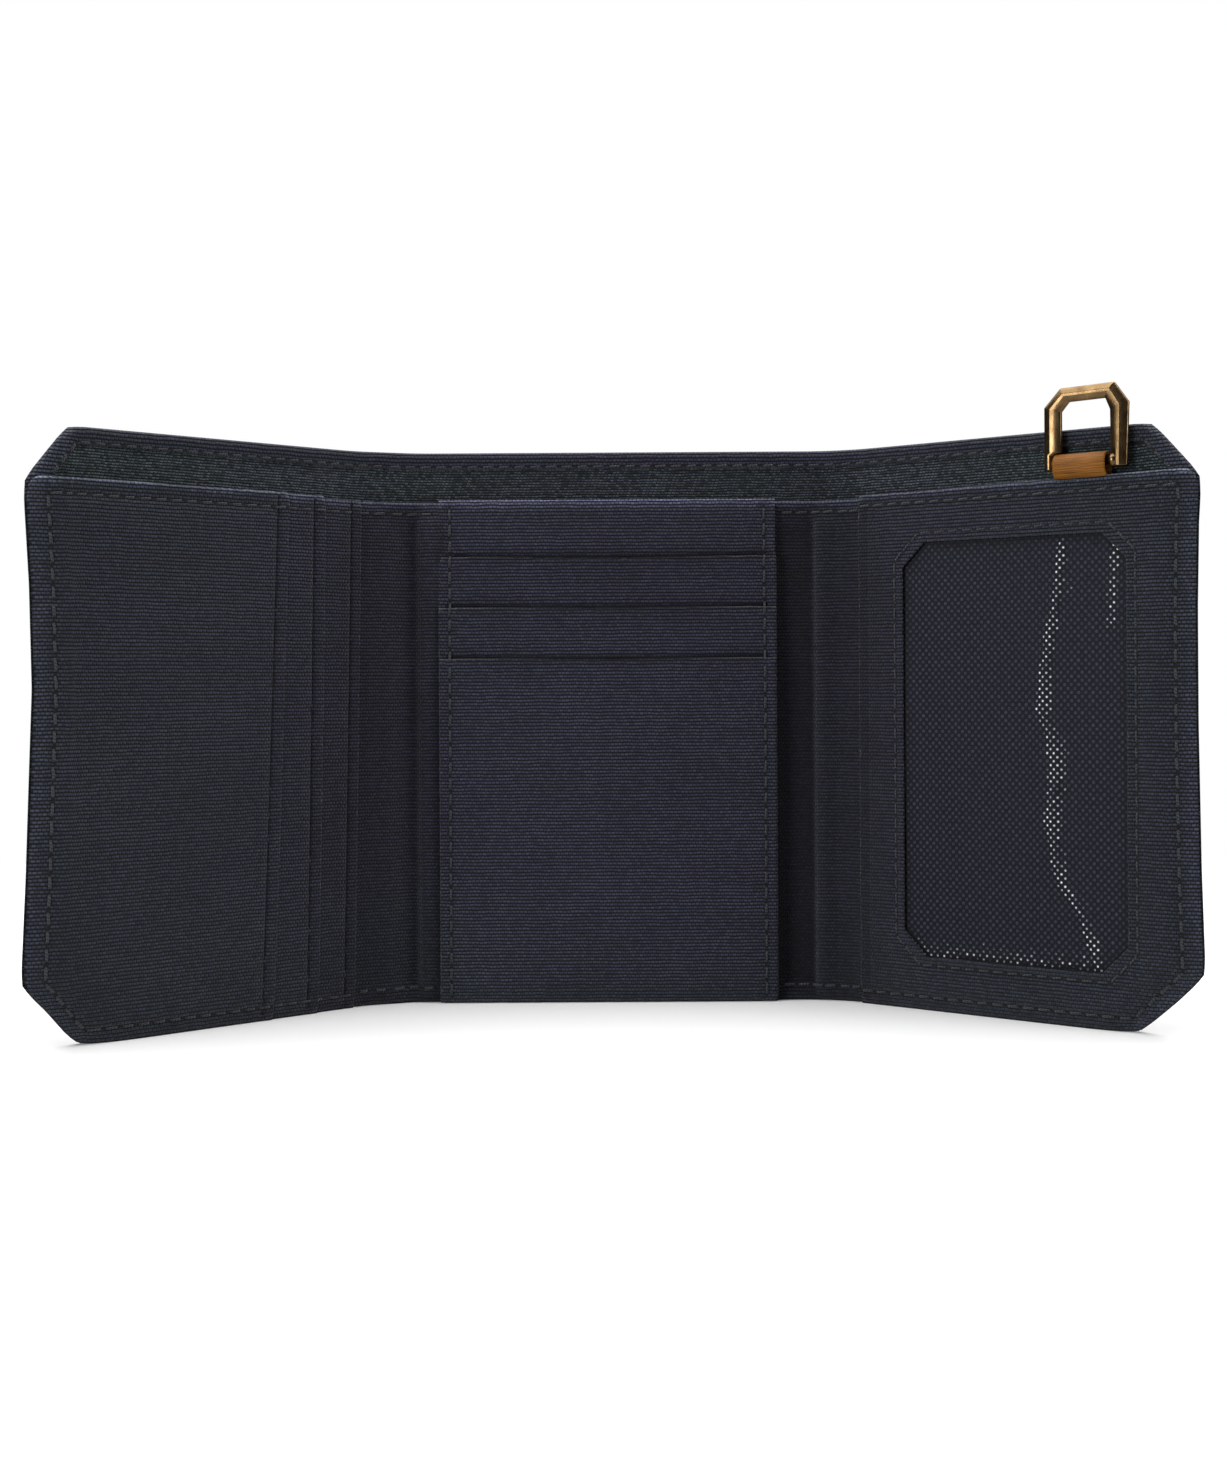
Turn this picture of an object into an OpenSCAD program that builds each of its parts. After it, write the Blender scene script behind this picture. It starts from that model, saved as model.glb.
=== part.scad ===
// Trifold wallet in canvas, standing half open on its bottom edge.
// +Z is up, +X runs along the wallet and -Y is the inside, where the pockets are.
// The origin is on the fold plane (the lining's inner face), at the middle of the
// centre panel's bottom edge. Each side is drawn flat, x running outward from its
// fold line, and is then turned about that line.

/* [Body] */
// Height of the outer shell
shell_h = 108; // [100:1:116]
// Height of the wall in front of the bill compartment
bill_h = 98; // [90:1:98]
// Length of the left wing beyond its last fold
left_wing_l = 70.1; // [66:0.1:74]
// Length of the right wing beyond its last fold
right_wing_l = 69.1; // [66:0.1:74]
// Size of the corner cuts at the top of the wings
top_cut = 10; // [8:0.5:10]
// Size of the corner cuts at the bottom of the wings
bottom_cut = 11; // [8:0.5:13]

/* [Folds] */
// Distance from the middle of the centre panel to the left spine
left_fold_x = 37.4; // [37:0.1:39]
// Distance from the middle of the centre panel to the right spine
right_fold_x = 42; // [40:0.1:43]
// Width of the left spine, which wraps the other two panels
left_spine_w = 12.5; // [12.5:0.1:14]
// Width of the right spine, which wraps the centre panel only
right_spine_w = 7.4; // [7.4:0.1:9]
// Turn of each of the left spine's two folds
left_bend = 21; // [0:1:90]
// Turn of each of the right spine's two folds
right_bend = 19.25; // [0:0.25:90]

/* [Fabric] */
// Thickness of the shell canvas
shell_t = 0.5; // [0.4:0.05:0.5]
// Thickness of the fused interfacing
interfacing_t = 0.2; // [0.1:0.05:0.2]
// Thickness of the bill compartment's lining
lining_t = 0.2; // [0.1:0.05:0.2]
// Depth of the bill compartment
bill_gap = 1.4; // [1.4:0.05:1.5]
// Thickness of the bill wall, which is two layers
bill_t = 0.6; // [0.5:0.05:0.6]
// Thickness of one pocket layer
pocket_t = 0.4; // [0.3:0.05:0.4]
// Room between two pocket layers
layer_gap = 0.1; // [0.05:0.01:0.1]

/* [Pockets] */
// Half the width of the centre card stack
stack_half_w = 33; // [30:0.5:33]
// Height of the highest card slot's mouth
slot_mouth_h = 87.3; // [84:0.1:88]
// Step from one card slot or side pocket to the next
slot_step = 9.9; // [9:0.1:10.5]
// Depth of each card slot
slot_depth = 67.4; // [60:0.1:67.4]
// Distance from the left fold to the opening of the rearmost side pocket
side_pocket_x = 1.3; // [1.2:0.1:3]
// Distance from the right fold to the opening of the ID pocket
id_pocket_x = 1.4; // [1.3:0.1:3]
// Distance from the right fold to the ID window
window_x = 12.3; // [10:0.1:14]
// Width of the ID window
window_w = 46; // [42:0.5:48]
// Height of the ID window
window_h = 79.5; // [70:0.5:82]
// Height of the ID window's lower edge
window_z = 9; // [7:0.5:11]
// Size of the ID window's corner cuts
window_cut = 4.5; // [2:0.5:8]

/* [Ring] */
// Distance from the right fold to the middle of the ring
ring_x = 49.1; // [40:0.1:52]
// Width of the ring
ring_w = 16; // [15:0.5:18]
// Height from the pin's axis to the top of the ring
ring_h = 13.7; // [12:0.1:15]
// Width of the ring's side bars, seen from the front
ring_bar = 3.2; // [2.6:0.1:3.3]
// Height of the ring's top bar
ring_top = 2.4; // [2:0.1:3]
// Width of the side bars where the tab lies between them
ring_foot = 2.3; // [2:0.1:2.5]
// Thickness of the ring from front to back
ring_t = 2.3; // [2:0.1:2.3]
// Size of the cuts at the ring's upper corners
ring_cut = 3.2; // [2:0.1:3.6]
// Radius of the pin that the tab wraps round
pin_r = 1.05; // [0.8:0.05:1.1]
// Height of the pin's axis
pin_z = 101.6; // [101:0.1:103]
// Thickness of the tab's strap
tab_t = 0.65; // [0.5:0.05:0.7]
// Height of the end of the tab inside the bill compartment
tab_end_z = 84; // [60:1:90]

/* [Hidden] */
LEFT = 0;
RIGHT = 1;
wing_l = [left_wing_l, right_wing_l];
fold_x = [left_fold_x, right_fold_x];
spine_w = [left_spine_w, right_spine_w];
bend = [left_bend, right_bend];

hinge_slit = 0.15;      // each sheet behind the fold plane stops this short of a fold
fold_room = 0.35;       // room that a layer in front of the fold plane keeps when folded
mouth_room = 0.7;       // extra room where a pocket's opening turns close to the spine
hem_h = 3.2;            // height of the shell's turned hem
hem_t = 0.4;            // its thickness
seam_h = 2.5;           // height of the seam allowance along the bottom
seam_w = 4;             // its width along the sides
thread_w = 0.3;         // seam thread, width and height above the cloth
thread_h = 0.15;
top_seam = 3;           // distance from a top edge to its row of stitches
bottom_seam = 2.6;      // distance from the bottom edge to its row
side_seam = 4.8;        // distance from a side edge to its row
stack_seam = 2.2;       // distance from the card stack's side to its row
window_seam = 1.8;      // distance from the ID window to its row
film_overlap = 3;       // how far the window's mesh reaches behind the frame
film_t = 0.2;
pin_clearance = 0.05;
tab_side_room = 0.3;    // room between the tab and each side of the ring

bill_back = -bill_gap;              // y of the bill wall's rear face
bill_front = bill_back - bill_t;    // y of its front face
pin_y = -2.1;                       // y of the pin's axis in the right wing
fabric = [0.17, 0.175, 0.205];
cloth_dark = [0.15, 0.165, 0.18];
thread_black = [0.12, 0.12, 0.14];

// ---- frames ----

module on_side(side) {
    if (side == LEFT) mirror([1, 0, 0]) children();
    else children();
}

// x runs outward from the spine's inner fold line.
module on_spine(side) {
    on_side(side)
        translate([fold_x[side], 0, 0])
            rotate([0, 0, -bend[side]]) children();
}

// x runs outward from the wing's fold line.
module on_wing(side) {
    on_spine(side)
        translate([spine_w[side], 0, 0])
            rotate([0, 0, -bend[side]]) children();
}

// ---- shapes ----

// A flat sheet. y_front is its front face, the one towards the pockets.
module sheet(x0, x1, z0, z1, y_front, t) {
    translate([x0, y_front, z0]) cube([x1 - x0, t, z1 - z0]);
}

// Stands a shape drawn in x and z upright, with its front face at y_front.
module upright(y_front, t) {
    translate([0, y_front + t, 0]) rotate([90, 0, 0]) linear_extrude(t) children();
}

// A wing's outline, in x and z.
module wing_outline(side, x0, top, cut) {
    l = wing_l[side];
    polygon([
        [x0, 0], [l - bottom_cut, 0], [l, bottom_cut],
        [l, top - cut], [l - cut, top], [x0, top]
    ]);
}

module wing_sheet(side, x0, top, cut, y_front, t) {
    upright(y_front, t) wing_outline(side, x0, top, cut);
}

// A rectangle with its corners cut off, in x and z.
module cut_rectangle(w, h, cut) {
    polygon([
        [cut, 0], [w - cut, 0], [w, cut], [w, h - cut],
        [w - cut, h], [cut, h], [0, h - cut], [0, cut]
    ]);
}

// A straight run of thread from a to b, both [x, z], on a face at y.
module thread(a, b, y) {
    run = b - a;
    color(thread_black)
        translate([a[0], y, a[1]])
            rotate([0, -atan2(run[1], run[0]), 0])
                translate([0, -thread_h, -thread_w / 2])
                    cube([norm(run), thread_h, thread_w]);
}

// ---- layers behind the fold plane, the same in all five sections ----

module center_layer(y_front, t) {
    sheet(-fold_x[LEFT] + hinge_slit, fold_x[RIGHT] - hinge_slit, 0, shell_h, y_front, t);
}

module spine_layer(side, y_front, t) {
    on_spine(side) sheet(hinge_slit, spine_w[side] - hinge_slit, 0, shell_h, y_front, t);
}

module wing_layer(side, y_front, t) {
    on_wing(side) wing_sheet(side, hinge_slit, shell_h, top_cut, y_front, t);
}

shell_y = lining_t + interfacing_t;
module shell_center() color(fabric) center_layer(shell_y, shell_t);
module shell_spine(side) color(fabric) spine_layer(side, shell_y, shell_t);
module shell_wing(side) color(fabric) wing_layer(side, shell_y, shell_t);
module interfacing_center() color("dimgray") center_layer(lining_t, interfacing_t);
module interfacing_spine(side) color("dimgray") spine_layer(side, lining_t, interfacing_t);
module interfacing_wing(side) color("dimgray") wing_layer(side, lining_t, interfacing_t);
module lining_center() color(cloth_dark) center_layer(0, lining_t);
module lining_spine(side) color(cloth_dark) spine_layer(side, 0, lining_t);
module lining_wing(side) color(cloth_dark) wing_layer(side, 0, lining_t);

// ---- the shell's turned hem, inside its top edge ----

hem_room = hem_t + fold_room;

module hem_center() {
    color(fabric)
        sheet(-fold_x[LEFT] + hem_room, fold_x[RIGHT] - hem_room, shell_h - hem_h, shell_h, -hem_t, hem_t);
}

module hem_spine(side) {
    color(fabric) on_spine(side)
        sheet(hem_room, spine_w[side] - hem_room, shell_h - hem_h, shell_h, -hem_t, hem_t);
}

// It turns the corner and runs down the cut to the bill wall.
module hem_wing(side) {
    l = wing_l[side];
    slant = hem_h * tan(22.5);
    color(fabric) on_wing(side) upright(-hem_t, hem_t) polygon([
        [hem_room, shell_h - hem_h], [l - top_cut - slant, shell_h - hem_h],
        [l - hem_h * sqrt(2), shell_h - top_cut], [l, shell_h - top_cut],
        [l - top_cut, shell_h], [hem_room, shell_h]
    ]);
}

// ---- the wall in front of the bill compartment ----

bill_room = bill_gap + bill_t + thread_h + fold_room;

module bill_wall_center() {
    color(fabric)
        sheet(-fold_x[LEFT] + bill_room, fold_x[RIGHT] - bill_room, 0, bill_h, bill_front, bill_t);
}

module bill_wall_spine(side) {
    color(fabric) on_spine(side)
        sheet(bill_room, spine_w[side] - bill_room - mouth_room, 0, bill_h, bill_front, bill_t);
}

module bill_wall_wing(side) {
    color(fabric) on_wing(side) wing_sheet(side, bill_room, bill_h, 0, bill_front, bill_t);
}

// ---- seam allowance, which closes the bill compartment at the bottom and ends ----

seam_room = bill_gap + fold_room;

module bottom_seam_center() {
    color(cloth_dark)
        sheet(-fold_x[LEFT] + seam_room, fold_x[RIGHT] - seam_room, 0, seam_h, bill_back, bill_gap);
}

module bottom_seam_spine(side) {
    color(cloth_dark) on_spine(side)
        sheet(seam_room, spine_w[side] - bill_room - mouth_room, 0, seam_h, bill_back, bill_gap);
}

module bottom_seam_wing(side) {
    color(cloth_dark) on_wing(side)
        sheet(seam_room, wing_l[side] - bottom_cut - seam_h, 0, seam_h, bill_back, bill_gap);
}

module side_seam_wing(side) {
    l = wing_l[side];
    color(cloth_dark) on_wing(side) upright(bill_back, bill_gap) polygon([
        [l - bottom_cut - seam_h, 0], [l - bottom_cut, 0], [l, bottom_cut], [l, bill_h],
        [l - seam_w, bill_h], [l - seam_w, bottom_cut + seam_h], [l - bottom_cut - seam_h, seam_h]
    ]);
}

// ---- pocket layers; layer 0 lies on the bill wall ----

function layer_front(n) = bill_front - (n + 1) * pocket_t - n * layer_gap;

module card_backing() {
    color(fabric) sheet(-stack_half_w, stack_half_w, 0, bill_h, layer_front(0), pocket_t);
}

// Slot 0 is the highest. Each is as deep as the others, so they step down together.
module card_slot(n) {
    mouth = slot_mouth_h - n * slot_step;
    color(fabric)
        sheet(-stack_half_w, stack_half_w, mouth - slot_depth, mouth, layer_front(n + 1), pocket_t);
}

// Pocket 0 is the rearmost. Each is shorter than the one behind it.
module side_pocket(n) {
    y_front = layer_front(n) - layer_gap;
    color(fabric) on_wing(LEFT)
        wing_sheet(LEFT, side_pocket_x + n * slot_step, bill_h, 0, y_front, pocket_t);
}

frame_front = bill_front - film_t - pocket_t - 2 * layer_gap;

module id_window_mesh() {
    color("slategray") on_wing(RIGHT)
        sheet(
            window_x - film_overlap, window_x + window_w + film_overlap,
            window_z - film_overlap, window_z + window_h + film_overlap,
            bill_front - layer_gap - film_t, film_t
        );
}

module id_pocket_frame() {
    color(fabric) on_wing(RIGHT) upright(frame_front, pocket_t) difference() {
        wing_outline(RIGHT, id_pocket_x, bill_h, 0);
        translate([window_x, window_z]) cut_rectangle(window_w, window_h, window_cut);
    }
}

// ---- seam thread ----

// A closed or open run of thread through a list of [x, z] points.
module thread_path(points, y) {
    for (i = [0 : len(points) - 2]) thread(points[i], points[i + 1], y);
}

hem_seam_z = shell_h - hem_h + 2 * thread_w;
bill_seam_z = bill_h - top_seam;

// The rows down the card stack's sides, which follow the slots' steps.
module stitching_center() {
    row_x = stack_half_w - stack_seam;
    steps = [bottom_seam, for (n = [2 : -1 : 0]) slot_mouth_h - n * slot_step, bill_seam_z];
    for (x = [-row_x, row_x], n = [0 : 3])
        thread([x, steps[n]], [x, steps[n + 1] - thread_w], layer_front(3 - n));
    thread([-fold_x[LEFT] + hem_room, hem_seam_z], [fold_x[RIGHT] - hem_room, hem_seam_z], -hem_t);
}

module stitching_spine(side) {
    end = spine_w[side] - bill_room - mouth_room;
    on_spine(side) {
        thread([hem_room, hem_seam_z], [spine_w[side] - hem_room, hem_seam_z], -hem_t);
        thread([bill_room, bill_seam_z], [end, bill_seam_z], bill_front);
        thread([bill_room, bottom_seam], [end, bottom_seam], bill_front);
    }
}

// The rows round a wing's outer pocket layer, whose opening is at x0 and face at y.
module wing_rows(side, x0, y) {
    l = wing_l[side];
    inset = side_seam * tan(22.5);
    thread([hem_room, hem_seam_z], [l - top_cut, hem_seam_z], -hem_t);
    thread_path([
        [x0, bill_seam_z], [l - side_seam, bill_seam_z], [l - side_seam, bottom_cut + inset],
        [l - bottom_cut - inset, bottom_seam], [x0, bottom_seam]
    ], y);
}

module stitching_left_wing() {
    on_wing(LEFT) wing_rows(LEFT, side_pocket_x + 2 * slot_step, layer_front(2) - layer_gap);
}

module stitching_right_wing() {
    on_wing(RIGHT) {
        wing_rows(RIGHT, id_pocket_x, frame_front);
        translate([window_x - window_seam, 0, window_z - window_seam]) {
            w = window_w + 2 * window_seam;
            h = window_h + 2 * window_seam;
            c = window_cut;
            thread_path([
                [c, 0], [w - c, 0], [w, c], [w, h - c], [w - c, h], [c, h], [0, h - c], [0, c], [c, 0]
            ], frame_front);
        }
    }
}

// ---- ring and tab ----

// An outline with its two upper corners cut, w to each side of the middle, from z0 up to z1.
module cut_outline(w, z0, z1, cut) {
    polygon([[-w, z0], [w, z0], [w, z1 - cut], [w - cut, z1], [-w + cut, z1], [-w, z1 - cut]]);
}

// Places the ring's own frame, with its origin on the pin's axis.
module on_ring() {
    on_wing(RIGHT) translate([ring_x, pin_y, pin_z]) children();
}

opening_w = ring_w - 2 * ring_foot;
foot_h = pin_r + pin_clearance + tab_t + tab_side_room;

module ring() {
    color("darkgoldenrod") on_ring() {
        upright(-ring_t / 2, ring_t) difference() {
            cut_outline(ring_w / 2, -pin_r, ring_h, ring_cut);
            cut_outline(ring_w / 2 - ring_bar, -2 * pin_r, ring_h - ring_top, ring_cut - ring_bar / 2);
            translate([-opening_w / 2, -2 * pin_r]) square([opening_w, 2 * pin_r + foot_h]);
        }
        translate([-opening_w / 2, 0, 0]) rotate([0, 90, 0]) cylinder(h = opening_w, r = pin_r, $fn = 48);
    }
}

// A strap folded round the pin, whose two legs run down into the bill compartment.
module ring_tab() {
    w = opening_w - 2 * tab_side_room;
    bore_r = pin_r + pin_clearance;
    loop_r = bore_r + tab_t;
    neck = loop_r - 0.1;
    leg_front = -bill_gap / 2 - tab_t;
    leg_back = -bill_gap / 2 + tab_t;
    color("chocolate") on_wing(RIGHT)
        translate([ring_x - w / 2, 0, 0]) rotate([90, 0, 90]) difference() {
            union() {
                translate([pin_y, pin_z, 0]) cylinder(h = w, r = loop_r, $fn = 64);
                linear_extrude(w) polygon([
                    [pin_y - neck, pin_z], [pin_y + neck, pin_z],
                    [leg_back, bill_h + 0.6], [leg_back, tab_end_z],
                    [leg_front, tab_end_z], [leg_front, bill_h + 0.6]
                ]);
            }
            translate([pin_y, pin_z, -1]) cylinder(h = w + 2, r = bore_r, $fn = 64);
        }
}

shell_center();
shell_spine(LEFT);  // shell_left_spine
shell_wing(LEFT);  // shell_left_wing
shell_spine(RIGHT);  // shell_right_spine
shell_wing(RIGHT);  // shell_right_wing
interfacing_center();
interfacing_spine(LEFT);  // interfacing_left_spine
interfacing_wing(LEFT);  // interfacing_left_wing
interfacing_spine(RIGHT);  // interfacing_right_spine
interfacing_wing(RIGHT);  // interfacing_right_wing
lining_center();
lining_spine(LEFT);  // lining_left_spine
lining_wing(LEFT);  // lining_left_wing
lining_spine(RIGHT);  // lining_right_spine
lining_wing(RIGHT);  // lining_right_wing
hem_center();
hem_spine(LEFT);  // hem_left_spine
hem_wing(LEFT);  // hem_left_wing
hem_spine(RIGHT);  // hem_right_spine
hem_wing(RIGHT);  // hem_right_wing
bill_wall_center();
bill_wall_spine(LEFT);  // bill_wall_left_spine
bill_wall_wing(LEFT);  // bill_wall_left_wing
bill_wall_spine(RIGHT);  // bill_wall_right_spine
bill_wall_wing(RIGHT);  // bill_wall_right_wing
bottom_seam_center();
bottom_seam_spine(LEFT);  // bottom_seam_left_spine
bottom_seam_wing(LEFT);  // bottom_seam_left_wing
bottom_seam_spine(RIGHT);  // bottom_seam_right_spine
bottom_seam_wing(RIGHT);  // bottom_seam_right_wing
side_seam_wing(LEFT);  // side_seam_left_wing
side_seam_wing(RIGHT);  // side_seam_right_wing
card_backing();
card_slot(0);  // card_slot_high
card_slot(1);  // card_slot_middle
card_slot(2);  // card_slot_low
side_pocket(0);  // side_pocket_rear
side_pocket(1);  // side_pocket_middle
side_pocket(2);  // side_pocket_front
id_window_mesh();
id_pocket_frame();
stitching_center();
stitching_spine(LEFT);  // stitching_left_spine
stitching_left_wing();
stitching_spine(RIGHT);  // stitching_right_spine
stitching_right_wing();
ring_tab();
ring();
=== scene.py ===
import math
from itertools import pairwise

import bpy
import numpy as np
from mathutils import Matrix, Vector, geometry


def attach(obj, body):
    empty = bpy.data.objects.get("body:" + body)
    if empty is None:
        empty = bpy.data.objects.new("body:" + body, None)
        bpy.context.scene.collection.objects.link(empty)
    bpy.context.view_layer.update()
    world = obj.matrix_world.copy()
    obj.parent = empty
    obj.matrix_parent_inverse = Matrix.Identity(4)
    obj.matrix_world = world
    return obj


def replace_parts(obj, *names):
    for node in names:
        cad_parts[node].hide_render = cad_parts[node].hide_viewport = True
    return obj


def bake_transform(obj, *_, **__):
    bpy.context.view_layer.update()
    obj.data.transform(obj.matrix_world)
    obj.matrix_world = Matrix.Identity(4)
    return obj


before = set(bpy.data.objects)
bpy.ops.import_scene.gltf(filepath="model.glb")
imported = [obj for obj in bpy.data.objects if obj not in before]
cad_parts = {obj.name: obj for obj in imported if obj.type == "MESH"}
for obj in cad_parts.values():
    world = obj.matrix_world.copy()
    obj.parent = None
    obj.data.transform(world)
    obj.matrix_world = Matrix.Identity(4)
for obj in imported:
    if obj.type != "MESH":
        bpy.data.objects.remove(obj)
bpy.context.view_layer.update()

MM = 0.001
LEFT, RIGHT = -1, 1
NAMES = {LEFT: "left", RIGHT: "right"}

# ---------------------------------------------------------------- the wallet's plan, in mm
# s runs along the wallet laid flat, from the middle of the centre panel, z is height, and h is the
# height above the fold plane, towards the pockets.
FOLD = {LEFT: 37.4, RIGHT: 42.0}         # fold between the centre panel and the spine
SPINE = {LEFT: 12.5, RIGHT: 7.4}         # width of the spine
BEND = {LEFT: math.radians(21), RIGHT: math.radians(19.25)}
ZONE = {LEFT: 4.6, RIGHT: 3.55}          # half the length over which a fold bends
END = {LEFT: 120.0, RIGHT: 118.5}
MIDDLE = {side: FOLD[side] + SPINE[side] / 2 for side in FOLD}
TOP_CUT, BOTTOM_CUT = 10.0, 11.0
SHELL_TOP, WALL_TOP = 108.0, 98.0
BODY = {LEFT: ("left_spine", "left_wing"), RIGHT: ("right_spine", "right_wing")}
DRAWN_IN = {                             # how far each wing's end is drawn in, against height
    LEFT: ((0, 11, 30, 50, 62, 80, 98, 108), (0.5, 0.9, 1.9, 2.7, 3.2, 2.8, 1.8, 0.0)),
    RIGHT: ((0, 11, 30, 55, 75, 90, 98, 108), (-0.6, -0.7, -0.1, 0.3, 0.3, 0.0, -0.5, -1.6)),
}
CORNERS = (                              # place from the end, height, and the way in towards the cloth
    (0, BOTTOM_CUT, -0.92, 0.38),
    (-BOTTOM_CUT, 0, -0.38, 0.92),
    (0, SHELL_TOP - TOP_CUT, -0.92, -0.38),
    (-TOP_CUT, SHELL_TOP, -0.38, -0.92),
)
CORNER_PULL, CORNER_REACH = 0.32, 2.4    # how far a corner is rounded off, and over what area


def smooth(t):
    """An eased step from 0 to 1."""
    t = np.clip(t, 0, 1)
    return t * t * (3 - 2 * t)


def hump(x, width):
    """1 where x is 0, falling away on both sides over about the given width."""
    return np.exp(-(x / width) ** 2)


def centreline(side):
    """The fold plane seen from above: tables of s, distance out, distance forward and angle."""
    s = np.arange(0, END[side] + 4, 0.05)
    first, second, zone = FOLD[side], FOLD[side] + SPINE[side], ZONE[side]
    bend = BEND[side]
    angle = bend * (smooth((s - first + zone) / (2 * zone)) + smooth((s - second + zone) / (2 * zone)))
    step = np.diff(s, prepend=0)
    x, y = np.cumsum(np.cos(angle) * step), np.cumsum(np.sin(angle) * step)
    hinge = np.array([first + SPINE[side] * math.cos(bend), SPINE[side] * math.sin(bend)])
    for fold, corner, turn in ((first, np.array([first, 0]), bend), (second, hinge, 2 * bend)):
        i = np.searchsorted(s, fold + zone)
        true = corner + (s[i] - fold) * np.array([math.cos(turn), math.sin(turn)])
        ease = smooth((s - fold + zone) / (2 * zone))
        dx, dy = true[0] - x[i], true[1] - y[i]
        x, y = x + dx * ease, y + dy * ease
    return s, x, y, angle


LINE = {side: centreline(side) for side in NAMES}


def place(s, z, h):
    """Points in the row frame, in metres, for arrays of s, z and h in mm."""
    s, z, h = (a.copy() for a in np.broadcast_arrays(*(np.asarray(a, float) for a in (s, z, h))))
    out = np.zeros(s.shape + (3,))
    for side, (heights, amounts) in DRAWN_IN.items():
        u = s * side - END[side]
        near = smooth((u + 11 + 2 * np.clip(z - 98, 0, 4)) / 7)
        s -= side * near * np.interp(z, heights, amounts)
        for at, height, along, up in CORNERS:
            pull = CORNER_PULL * np.exp(-((u - at) ** 2 + (z - height) ** 2) / CORNER_REACH)
            s += side * along * pull
            z += up * pull
    for side in NAMES:
        table, x, y, angle = LINE[side]
        here = (s < 0) == (side == LEFT)
        u = np.abs(s[here])
        a = np.interp(u, table, angle)
        out[here, 0] = side * (np.interp(u, table, x) - h[here] * np.sin(a))
        out[here, 1] = -(np.interp(u, table, y) + h[here] * np.cos(a))
        out[here, 2] = z[here]
    return out * MM


def point(s, z=54, h=0):
    return tuple(float(v) for v in place(s, z, h))


# ---------------------------------------------------------------- outlines, sewn edges and seams
def mirrored(side, points):
    return [(side * s, z) for s, z in points]


def outline_on(side, points):
    """An outline drawn for the right side, mirrored for the left so that it turns the same way."""
    return mirrored(side, points[::side])


def edges(polygon):
    return zip(polygon, polygon[1:] + polygon[:1])


def signed_area(polygon):
    return sum(a[0] * b[1] - b[0] * a[1] for a, b in edges(polygon)) / 2


def segment_distance(p, a, b):
    """Distance from each point to the segment from a to b."""
    a, d = np.array(a, float), np.array(b, float) - np.array(a, float)
    t = np.clip(((p - a) @ d) / (d @ d), 0, 1)
    return np.linalg.norm(p - a - t[:, None] * d, axis=1)


def edge_distance(p, polygon, skip=()):
    """Distance from each point to the polygon's edges, without the skipped ones."""
    kept = [edge for i, edge in enumerate(edges(polygon)) if i not in skip]
    return np.min([segment_distance(p, a, b) for a, b in kept], axis=0)


def path_distance(p, path):
    return np.min([segment_distance(p, a, b) for a, b in pairwise(path)], axis=0)


def wing_outline(side, s0, top, cut, s0_top=None):
    """A wing's outline from its opening at s0 to its end, in s and z."""
    e = END[side]
    points = [(s0, 0), (e - BOTTOM_CUT, 0), (e, BOTTOM_CUT)]
    if cut:
        points += [(e, top - cut), (e - cut, top)]
    else:
        points += [(e, top - 2.2), (e - 0.7, top - 0.7), (e - 2.2, top)]
    points += [(s0 if s0_top is None else s0_top, top)]
    return outline_on(side, points)


SEAM_SIDE, SEAM_BOTTOM, SEAM_TOP = 3.1, 2.6, 2.2


def seam_path(side, s0, top=WALL_TOP):
    """The row of stitches round a wing: along its top, down its end, across the cut and along its bottom."""
    e, inset = END[side], SEAM_SIDE * math.tan(math.radians(22.5))
    return mirrored(side, [
        (s0, top - SEAM_TOP), (e - SEAM_SIDE, top - SEAM_TOP), (e - SEAM_SIDE, BOTTOM_CUT + inset - 0.6),
        (e - BOTTOM_CUT - inset + 0.8, SEAM_BOTTOM), (s0, SEAM_BOTTOM)])


def squeeze(s, z):
    """How far the sewn edges press the layers together: 1 in the middle, less at the ends and bottom."""
    out = np.ones(np.shape(s))
    for side in NAMES:
        m = (s * side) > MIDDLE[side]
        to_end = END[side] - s[m] * side
        d = np.minimum(to_end, (to_end + z[m] - BOTTOM_CUT) / math.sqrt(2))
        out[m] = np.minimum(out[m], 0.42 + 0.58 * smooth((np.maximum(d, 0) + 0.6) / 6.4))
    return out * (0.80 + 0.20 * smooth((z + 0.3) / 3.6))


# ---------------------------------------------------------------- mesh building
EDGE_STEP = 1.6                          # spacing of the points along a sheet's edges
NEAREST = 0.03                           # points closer together than this are joined


def line(path, spacing=1.5):
    """A line of mesh points along a path."""
    return path, (0.0,), spacing


def run_between(a, b, spacing):
    """Evenly spaced points from a to b, with the step between a and b and the normal to its left."""
    a, d = np.array(a, float), np.array(b, float) - np.array(a, float)
    length = np.linalg.norm(d)
    count = max(2, int(round(length / spacing)))
    return a + np.linspace(0, 1, count + 1)[:, None] * d, d, np.array([-d[1], d[0]]) / length


def offset_points(polygon, distances, skip=()):
    """Points on lines inside the polygon at the given distances from its edges."""
    turn = 1 if signed_area(polygon) > 0 else -1
    found = []
    for i, (a, b) in enumerate(edges(polygon)):
        if i in skip:
            continue
        run, d, n = run_between(a, b, EDGE_STEP)
        for distance in distances:
            p = run + n * turn * distance
            t = (p - run[0]) @ d / np.linalg.norm(d) ** 2
            clear = edge_distance(p, polygon, skip) > distance - 1e-6
            found.append(p[(t > -1e-6) & (t < 1 + 1e-6) & clear])
    return np.concatenate(found)


def path_points(path, offsets, spacing):
    """Points on both sides of a path at the given distances from it."""
    found = []
    for a, b in pairwise(path):
        run, _, n = run_between(a, b, spacing)
        found += [run + n * offset for offset in offsets]
    return np.concatenate(found)


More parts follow.
